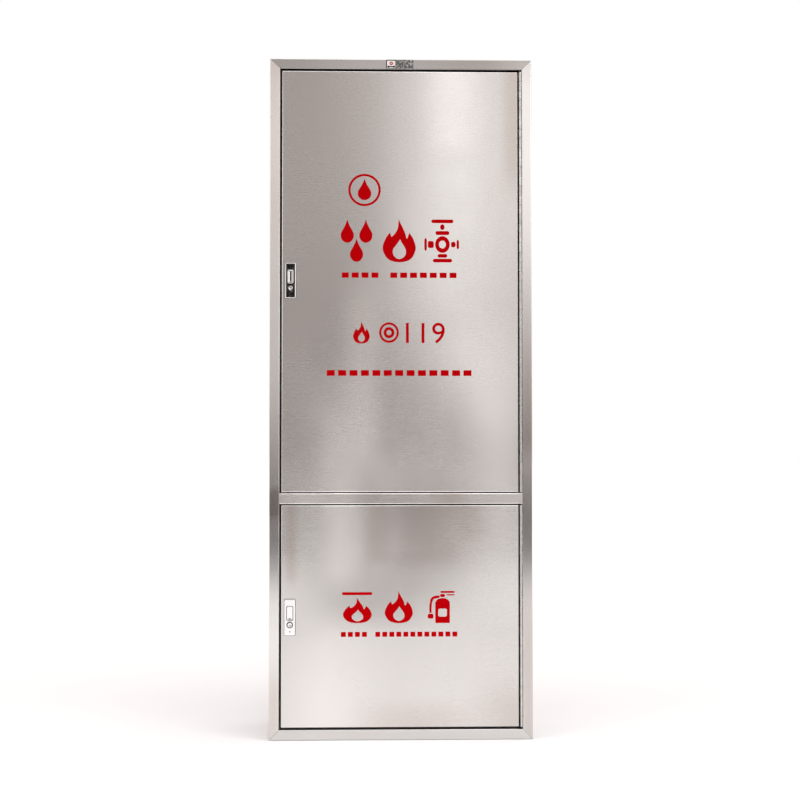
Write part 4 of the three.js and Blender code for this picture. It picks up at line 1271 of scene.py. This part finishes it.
def build_feed():
    """The ball valve that feeds the reel and the pipe from it to the axle."""
    at = (305, 98, 1205)
    line = (0, 98, 1205)
    ball = lathe_data([(0, -27), (15, -27), (15.4, -22), (17.4, -16), (19.6, -9), (20.4, 0), (19.6, 9),
                       (17.4, 16), (15.4, 22), (15, 27), (0, 27)], 56, "x", at)
    boss = lathe_data([(0, -34), (6.2, -34), (7, -33.2), (7, -28), (8, -27), (8, 0), (0, 0)], 40, "y", at)
    thread = [(0, 36), (13.2, 36)] + threaded(14, 37, 41, 1.6, 0.7) + [(13.4, 42.2), (0, 42.2)]
    spigot = lathe_data(thread, 40, "x", at)
    parts = [ball, boss, spigot, hexagon(20, -37, -24, "x", at), hexagon(20, 25, 38, "x", at)]
    make("ball_valve", merged(*parts), "cabinet", "brass", "feed_valve_body")
    blade = plate_data(14, 60, 6, [(-38.2, 0.3), (-38.6, 0), (-40.6, 0), (-41, 0.3)], (305, 98, 1225), 6)
    sleeve = plate_data(16.5, 54, 8, [
        (-36.6, 1.6), (-37.2, 0.5), (-38.2, 0), (-41.2, 0), (-42.2, 0.5), (-42.8, 1.6)], (305, 98, 1264), 8)
    make("ball_valve_handle", merged(blade, sleeve), "feed_lever", "red_enamel", "feed_valve_lever")
    make("ball_valve_nut", hexagon(7.5, -45.6, -41.2, "y", at, chamfer=0.8), "feed_lever", "zinc")
    path = bend([(267.7, 98, 1205), line, (0, 98, REEL_Z - 26.3)], 45, 14)
    make("feed_tube", tube_data(path, 13.4, 32), "cabinet", "zinc", "reel_feed_pipe")
    saddle = []
    for x in (190, 80):
        clip = [(13.5, x - 7), (15, x - 7), (15, x + 7), (13.5, x + 7), (13.5, x - 7)]
        saddle.append(lathe_data(clip, 40, "x", line))
        saddle.append(box_data(x - 7, x + 7, 111, 119.8, 1203.6, 1206.4, 0.5))
    make("feed_tube_clips", merged(*saddle), "cabinet", "zinc")
    lip = [(13.6, 342.8), (19.6, 342.8), (20.6, 343.8), (20.6, 345.2), (19.8, 346), (17.6, 346), (17.6, 347),
           (14.4, 347), (14.4, 344), (13.6, 342.8)]
    make("feed_grommet", lathe_data(lip, 48, "x", line), "cabinet", "hose_rubber")


ROLL_X = -140
ROLL_Z = 839.5
ROLL_R = 150
COUPLING = (7, 12, 641.5)


def build_roll():
    """Flat hose wound from its eye outwards.
    Its free end drops to the coupling on the shelf and fills out round it."""
    turns = 30
    steps = 84
    eye = 19.5
    pitch = (ROLL_R - 1.0 - eye) / turns
    half = 50.0
    thick = pitch * 0.47
    total = turns * steps
    circle = circle_points(0, 0, 1, 10)
    flat = [(math.copysign(min(1.0, abs(c) * 1.35) ** 0.8, c) * 0.985, s) for c, s in circle]
    loops = []
    for i in range(total + 1):
        a = 2 * math.pi * (i - total) / steps
        wander = 0.9 * math.sin(i * 0.013) + 0.6 * math.sin(i * 0.047 + 1.3)
        slump = 0.22 * math.sin(3 * a + 0.7)
        loop = []
        for across, out in flat:
            r = eye + pitch * i / steps + slump + out * thick
            loop.append((ROLL_X + r * math.cos(a), 12 + wander + across * (half - 1.6),
                         ROLL_Z + r * math.sin(a)))
        loops.append(loop)
    x_out = ROLL_X + eye + pitch * turns
    tail = [(828, 2.3, 48), (812, 2.5, 47.6), (795, 4.0, 47), (778, 8.5, 46), (762, 15, 44.5),
            (746, 23, 42.5), (730, 31, 40), (720, 35.4, 38.4), (713, 37.2, 37.6), (700, 37.4, 37.4),
            (688, 37.4, 37.4)]
    for z, deep, wide in tail:
        x = x_out + (COUPLING[0] - x_out) * min(1.0, (ROLL_Z - z) / (ROLL_Z - 713))
        full = min(1.0, max(0.0, (deep - 2.5) / 34))
        loop = []
        for (across, out), (c, s) in zip(flat, circle):
            v = across * wide * (1 - full) + c * wide * full
            w = out * deep * (1 - full) + s * deep * full
            loop.append((x + w, 12 + v, z))
        loops.append(loop)
    o = make("rolled_hose", loft_data(loops), "cabinet", "hose_fabric", "hose_roll", None, 60)
    mod = o.modifiers.new("soft", "SUBSURF")
    mod.levels = 1
    mod.render_levels = 1


def build_hose_coupling():
    """The coupling at the hose's end, which stands on the shelf, and the wire that binds the hose to it."""
    x, y, z = COUPLING
    profile = [(0, 3), (33, 3), (34, 0.4), (44.6, 0), (46, 1.4), (46, 5)] + ribbed(46, 6, 20, 4, 1.1) + [
        (46, 20.8), (45, 22), (41, 24.6), (40, 27), (40, 38), (39, 40.4), (37, 42.6), (36.4, 45)]
    profile += ribbed(36.6, 47, 70, 6, 0.9) + [(35, 72), (0, 72)]
    lugs = [box_data(x + low, x + high, y - 9, y + 9, z + 4, z + 16, 2.2) for low,
            high in ((34, 48), (-48, -34))]
    shell = lathe_data(profile, 64, "z", COUPLING)
    make("hose_end_coupling", merged(shell, *lugs), "cabinet", "coupling_alloy", "hose_coupling")
    wire = [torus_data(38.2, 1.5, (x, y, height), "z", 56, 8) for height in (693, 697.2, 701.4, 705.6)]
    make("hose_binding", merged(*wire), "cabinet", "zinc")


def build_branchpipe():
    """The branchpipe on its rack, with a ribbed grip sleeve."""
    at = (-300, 62, 1130)
    profile = [(28, 0), (43.8, 0), (45, 1.2), (45, 5)] + ribbed(45, 6, 22, 4, 1.1) + [
        (45, 24.6), (44, 26.4), (39.4, 30.8), (38, 33), (35, 42), (32.4, 56), (31, 80), (30, 110),
        (27.4, 142), (16, 280), (14.2, 312), (14.4, 319), (17, 323), (18, 326)]
    profile += ribbed(18, 328, 340, 4, 0.8) + [
        (18, 343.6), (16.8, 345), (9.5, 345), (9.5, 280), (24, 110), (28, 0)]
    lugs = [box_data(-306, -294, 54, 70, 1130 + low, 1130 + high, 2.0)
            for low, high in ((34, 44), (-44, -34))]
    barrel = merged(lathe_data(profile, 72, "x", at), *lugs)
    make("branchpipe_barrel", barrel, "cabinet", "coupling_alloy", "branchpipe")
    grip = [(26, 119.5)]
    for i in range(33):
        x = 120 + i * 3.6
        base = 29.2 - (x - 120) * 0.0826
        grip += [(base + 0.6, x), (base + 2.2, x + 0.9), (base + 2.2, x + 2.7), (base + 0.6, x + 3.6)]
    grip.append((18, grip[-1][1] + 0.5))
    make("branchpipe_grip", lathe_data(grip, 56, "x", at), "cabinet", "hose_rubber")
    heads = [(-300 + x, 116.7, 1130 + z) for x in (120, 240) for z in (-34, 34)]
    make("rack_screws", screws(heads, "-y", 4.6, 2.4), "cabinet", "zinc")


CALL_AT = (292, 82, 1738)


def build_call_point():
    """The manual call point: red case, white push plate with a printed target, corner screws and lamp."""
    case = plate_data(86, 86, 7, [
        (38, 0.6), (37.4, 0), (13, 0), (12.4, 0.5), (11.6, 0.5), (11, 0), (3.4, 0), (1.6, 0.5), (0.5, 1.5),
        (0, 3.2),
    ], CALL_AT, 8)
    pocket = plate_data(50.6, 50.6, 2.2, [(-6, 0), (8, 0)], CALL_AT, 6)
    carved("call_point_shell", case, [pocket], "cabinet", "call_point_red", "call_point_case", None, 30)
    key = plate_data(50, 50, 2.0, [(4, 0), (-0.4, 0), (-1.1, 0.4), (-1.5, 1.2)], CALL_AT, 6)
    make("call_point_key", key, "call_button", "call_point_white", "call_point_button")
    x, y, z = CALL_AT
    face = y - 1.5
    target = [circle_points(x, z, r, count) for r, count in ((11, 48), (8.6, 48), (5, 36))]
    printed("call_point_ring", target, "call_button", BLACK_PRINT, face, 0.06)
    arrows = [[(x + s * 21, z + 5), (x + s * 21, z - 5), (x + s * 13.5, z)] for s in (1, -1)]
    printed("call_point_arrows", arrows, "call_button", BLACK_PRINT, face, 0.06)
    corner = [(x + s * 35.5, y + 0.4, z + t * 35.5) for s in (-1, 1) for t in (-1, 1)]
    make("call_point_screws", screws(corner, "-y", 3.2, 1.6), "cabinet", "zinc")
    lens = [(0, 0.6), (3.2, 0.6), (3.2, -0.3), (2.6, -1.2), (1.4, -1.8), (0, -2)]
    make("call_point_lamp", lathe_data(lens, 24, "y", (x, y, z - 34)), "cabinet", "call_point_red")


def band(r, a0, a1, z0, z1, at, thick=0.12, steps=28):
    """A film wrapped on a cylinder of radius r, from angle a0 to a1 in degrees."""
    loops = []
    for i in range(steps + 1):
        a = math.radians(a0 + (a1 - a0) * i / steps)
        c = math.cos(a)
        s = math.sin(a)
        loops.append([(at[0] + rr * c, at[1] + rr * s, at[2] + z)
                      for rr, z in ((r, z0), (r + thick, z0), (r + thick, z1), (r, z1))])
    return loft_data(loops)


def dial_sector(a0, a1, y, at):
    """A coloured part of a gauge's scale, from angle a0 to a1 in degrees."""
    loops = []
    for i in range(11):
        a = math.radians(a0 + (a1 - a0) * i / 10)
        loops.append([(at[0] + r * math.cos(a), y + d, at[2] + r * math.sin(a))
                      for r, d in ((6.4, 0), (9.6, 0), (9.6, -0.1), (6.4, -0.1))])
    return loft_data(loops)


def pressed_handle(length, lip, start):
    """A pressed handle along X: a flat top with both sides turned down and a rounded end."""
    loops = []
    for u, half, sag in ((start, 7.0, 0), (start + 4, 8.8, 0), (length * 0.35, 9.0, 0.4),
                         (length * 0.6, 9.0, 0.8), (length - 10, 9.0, 0.6), (length - 4, 8.0, -0.6),
                         (length, 6.0, -2.2)):
        section = [
            (-half, -lip), (-half, 0.2), (-half + 1, 1.4), (half - 1, 1.4), (half, 0.2), (half, -lip),
            (half - 1.4, -lip), (half - 1.4, -0.6), (1.4 - half, -0.6), (1.4 - half, -lip),
        ]
        loops.append([(u, v, w + sag) for v, w in section])
    return loft_data(loops)


def build_extinguisher(prefix, x):
    """A stored-pressure extinguisher: tank with a plain label, valve and levers, gauge, hose and strap."""
    at = (x, 15, 1.5)
    outlet = (x, 15, 441.5)
    gauge = (x, 15, 442.5)
    pivot = (x - 12, 15, 461.5)
    profile = [(0, 5), (45, 5), (48.6, 2.4), (51, 0.4), (59.6, 0.3), (62.8, 1.8), (64.4, 5), (64.4, 11.2),
               (65, 12), (65, 14), (64.4, 14.8), (64.4, 339), (65, 340), (65, 343.4), (64.4, 344.4)]
    for i in range(1, 13):
        t = math.radians(67 * i / 12)
        profile.append((64.2 * math.cos(t), 345 + 57 * math.sin(t)))
    profile += [(23.4, 400), (21, 401), (20, 403), (20, 416.6), (19.2, 418), (14, 418), (0, 418)]
    make(prefix + "_tank", lathe_data(profile, 96, "z", at), "cabinet", "red_enamel",
         prefix + "_extinguisher_cylinder")

    r = 64.45
    make(prefix + "_tank_label", band(r, -152, -28, 96, 292, at), "cabinet", "print", None, WHITE_PRINT)
    top = r + 0.13
    rows = [band(top, -150, -30, 262, 289, at, 0.05), band(top, -150, -30, 99, 108, at, 0.05)]
    for middle in (-122, -90, -58):
        rows.append(band(top, middle - 12, middle + 12, 206, 232, at, 0.05, 8))
    make(prefix + "_label_blocks", merged(*rows), "cabinet", "print")
    lines = []
    for k, end in enumerate((-34, -52, -40, -36, -60, -44, -70)):
        z = 190 - 10.5 * k
        lines.append(band(top, -146, end, z, z + 3.4, at, 0.04, 20))
    lines += [band(top, -146, -64, 244, 249, at, 0.04, 16), band(top, -146, -84, 236, 239, at, 0.04, 12)]
    for middle in (-122, -90, -58):
        lines.append(band(top + 0.06, middle - 6, middle + 6, 212, 226, at, 0.03, 6))
    make(prefix + "_label_rows", merged(*lines), "cabinet", "print", None, BLACK_PRINT)

    neck = [(0, 406), (13.5, 406), (13.5, 417), (14, 418.4), (21.4, 418.6), (22, 419.4), (22, 421)]
    neck += ribbed(22, 421, 427, 3, 0.7)
    neck += [(21, 428), (16, 431), (14.8, 434), (15, 451), (14, 453.4), (0, 454)]
    spout = [(0, -51.8), (5.6, -51.8), (6.6, -50.8), (6.6, -41), (7, -28), (8, -20), (8, 0), (0, 0)]
    pin = [(0, -13.6), (2.6, -13.6), (3.2, -13), (3.2, 13), (2.6, 13.6), (0, 13.6)]
    metal = [
        lathe_data(neck, 48, "z", at), lathe_data(spout, 36, "x", outlet), hexagon(9, -40, -29, "x", outlet),
        lathe_data(rod(5, -12, 0), 24, "y", gauge), box_data(x - 18, x - 6, 2.5, 5.5, 447, 466.5, 0.6),
        box_data(x - 18, x - 6, 24.5, 27.5, 447, 466.5, 0.6), lathe_data(pin, 20, "y", pivot),
    ]
    make(prefix + "_valve_head", merged(*metal), "cabinet", "brass", prefix + "_extinguisher_valve")
    handle = moved(pressed_handle(99, 6.0, 9), Matrix.Translation((x, 15, 438.2)))
    make(prefix + "_carry_handle", handle, "cabinet", "zinc")
    tilt = Matrix.Translation(pivot) @ Matrix.Rotation(math.radians(-10), 4, "Y")
    make(prefix + "_squeeze_lever", moved(pressed_handle(106, 5.0, -3), tilt), prefix + "_lever",
         "red_enamel", prefix + "_extinguisher_lever", None, 40)

    case = [(0, -9), (9, -9), (12, -10.6), (13, -12.6), (13, -21.6), (12.6, -23.4), (11.8, -24), (11, -23.6),
            (10.8, -22.4), (0, -22.4)]
    make(prefix + "_gauge_case", lathe_data(case, 48, "y", gauge), "cabinet", "lock")
    dial = lathe_data(rod(10.7, -22.42, -22.55), 40, "y", gauge)
    make(prefix + "_gauge_dial", dial, "cabinet", "print", None, WHITE_PRINT)
    face = 15 - 22.45
    print_y = face - 0.1
    red = merged(dial_sector(125, 205, print_y, gauge), dial_sector(-25, 55, print_y, gauge))
    make(prefix + "_gauge_red", red, "cabinet", "print")
    make(prefix + "_gauge_green", dial_sector(57, 123, print_y, gauge), "cabinet", "print", None, GREEN_PRINT)
    needle = moved(box_data(-0.4, 0.4, -0.5, -0.2, -2.4, 8.4, 0.1),
                   Matrix.Translation((x, face, 442.5)) @ Matrix.Rotation(math.radians(8), 4, "Y"))
    boss = lathe_data([(0, -22.5), (1.5, -22.5), (1.2, -23.3), (0, -23.4)], 20, "y", gauge)
    make(prefix + "_gauge_needle", merged(needle, boss), "cabinet", "print", None, BLACK_PRINT)

    hose = prefix + "_extinguisher_hose"
    hose_x = x - 76
    path = bend([(x - 46, 15, 441.5), (hose_x, 15, 441.5), (hose_x, 15, 130)], 19, 14)
    make(prefix + "_discharge_hose", tube_data(path, 8.4, 24), "cabinet", "hose_rubber", hose)
    horn = [(0, 138), (6, 138), (8.6, 136), (9.4, 130), (10.4, 118), (12, 96), (13.6, 72), (15, 51.4),
            (14.6, 50), (13.6, 50), (13, 52), (10.4, 96), (5, 120), (0, 120)]
    horn = lathe_data(horn, 40, "z", (hose_x, 15, 1.5))
    make(prefix + "_discharge_horn", horn, "cabinet", "hose_rubber", hose)
    upper = [(8.4, 0), (9.2, 0)] + ribbed(9.4, 1, 15, 3, 0.8) + [(9.2, 16), (8.4, 16), (8.4, 0)]
    lower = [(8.4, 0), (9.4, 0.4)] + ribbed(9.5, 1, 13, 3, 0.8) + [(9.2, 14), (8.4, 14), (8.4, 0)]
    crimp = merged(lathe_data(upper, 32, "x", (x - 62, 15, 441.5)),
                   lathe_data(lower, 32, "z", (hose_x, 15, 138)))
    make(prefix + "_hose_ferrules", crimp, "cabinet", "zinc")
    loops = []
    for i in range(65):
        a = 2 * math.pi * i / 64
        near = max(0.0, math.cos(a - math.pi))
        reach = 65.0 + 20.6 * near ** 26
        strap = ((reach, 238), (reach + 0.9, 238.5), (reach + 0.9, 249.5), (reach, 250), (reach - 0.4, 249.5),
                 (reach - 0.4, 238.5))
        loops.append([(x + r * math.cos(a), 15 + r * math.sin(a), 1.5 + z) for r, z in strap])
    make(prefix + "_hose_strap", loft_data(loops, False), "cabinet", "hose_rubber")


for build in (build_valve, build_riser, build_reel, build_feed, build_roll, build_hose_coupling,
              build_branchpipe, build_call_point):
    build()
for side, x in (("left", -130), ("right", 130)):
    build_extinguisher(side, x)


# ------------------------------------------------------------------ stage: floor, light, camera
# Brightness of the studio by azimuth in radians, and by the height of the direction.
AROUND = [(-3.15, 0.62), (-2.4, 0.75), (-1.5, 0.62), (-1.0, 1.95), (-0.6, 0.60), (-0.24, 0.42), (-0.1, 0.47),
          (0.0, 0.65), (0.08, 1.04), (0.125, 1.40), (0.17, 1.28), (0.26, 0.84), (0.5, 0.76), (1.0, 1.95),
          (1.5, 0.62), (2.4, 0.75), (3.15, 0.62)]
UPWARD = [(-0.4, 0.5), (-0.12, 0.02), (-0.055, 0.03), (0.0, 0.68), (0.05, 1.0), (0.12, 1.07), (0.19, 1.35),
          (0.25, 1.60), (0.30, 0.70), (0.5, 0.60), (1.0, 0.95)]
PATCH = [(0.0, 0.04), (0.8, 0.04), (1.3, 2.0), (2.0, 2.0)]


def levels(sky, source, stops):
    """A smooth grey curve through stops, which are (value, brightness) with brightness up to 2, halved."""
    low, high = stops[0][0], stops[-1][0]
    ramp = sky.new("ShaderNodeValToRGB")
    ramp.color_ramp.interpolation = "EASE"
    elements = ramp.color_ramp.elements
    while len(elements) < len(stops):
        elements.new(0.5)
    for element, (value, level) in zip(elements, stops):
        element.position = (value - low) / (high - low)
        element.color = (level / 2, level / 2, level / 2, 1)
    sky.link(sky.ramp(source, low, high), ramp.inputs["Fac"])
    return ramp.outputs["Color"]


def dark_patch(sky, color, azimuth, height):
    """A small dark shape standing in the studio, which the shiny fittings pick up."""
    spans = []
    for source, middle, half in ((azimuth, -0.06, 0.042), (height, 0.118, 0.05)):
        away = sky.math("ABSOLUTE", sky.math("MULTIPLY", sky.math("SUBTRACT", source, middle), 1 / half))
        spans.append(sky.math("POWER", away, 2.0))
    return sky.mix(1.0, color, levels(sky, sky.math("ADD", *spans), PATCH), "MULTIPLY")


def build_world():
    """A white studio that is plain to the eye.
    What the steel reflects is darker at the horizon and to the left."""
    world = bpy.data.worlds.new("studio")
    bpy.context.scene.world = world
    world.use_nodes = True
    nodes = world.node_tree.nodes
    sky = Graph(world.node_tree)
    x, y, height = sky.split(sky.new("ShaderNodeTexCoord").outputs["Generated"])
    azimuth = sky.math("ARCTAN2", x, sky.math("MULTIPLY", y, -1.0))
    across = dark_patch(sky, levels(sky, azimuth, AROUND), azimuth, height)
    light = sky.mix(1.0, across, levels(sky, height, UPWARD), "MULTIPLY")
    warm = sky.mix(sky.math("MULTIPLY", light, 2.2, True), (1.0, 0.85, 0.79), (1.0, 1.0, 1.0))
    background = nodes["Background"]
    background.inputs["Strength"].default_value = 4.0
    sky.link(sky.mix(1.0, light, warm, "MULTIPLY"), background.inputs["Color"])
    plain = sky.new("ShaderNodeBackground", Color=(1, 1, 1, 1), Strength=1.0)
    seen = sky.new("ShaderNodeLightPath").outputs["Is Camera Ray"]
    choice = sky.new("ShaderNodeMixShader")
    for socket, source in zip(choice.inputs, (seen, background.outputs[0], plain.outputs[0])):
        sky.link(source, socket)
    sky.link(choice.outputs[0], nodes["World Output"].inputs["Surface"])


def build_stage():
    """The floor, the studio, the soft light from above and the camera."""
    paint = Nodes("floor_paint")
    mottle = paint.noise(2.0)
    mesh = bpy.data.meshes.new("floor")
    mesh.from_pydata([(-16, -4.25, -0.0005), (16, -4.25, -0.0005), (16, 30, -0.0005), (-16, 30, -0.0005)], [],
                     [(0, 1, 2, 3)])
    mesh.materials.append(paint.finish(paint.mix(mottle, (0.90, 0.905, 0.915), (0.92, 0.925, 0.935)), 0.85))
    add("floor", mesh)
    build_world()

    sun = bpy.data.lights.new("overhead", "SUN")
    sun.energy = 1.7
    sun.angle = math.radians(70)
    add("overhead", sun).rotation_euler = (math.radians(14), math.radians(6), 0)

    lens = bpy.data.cameras.new("camera")
    lens.lens = 59.6
    camera = add("camera", lens)
    camera.location = (-0.092, -3.617, 0.796)
    camera.rotation_euler = (math.radians(90 + 1.58), 0, math.radians(-1.46))
    bpy.context.scene.camera = camera
    bpy.context.scene.view_settings.view_transform = "Standard"


build_stage()
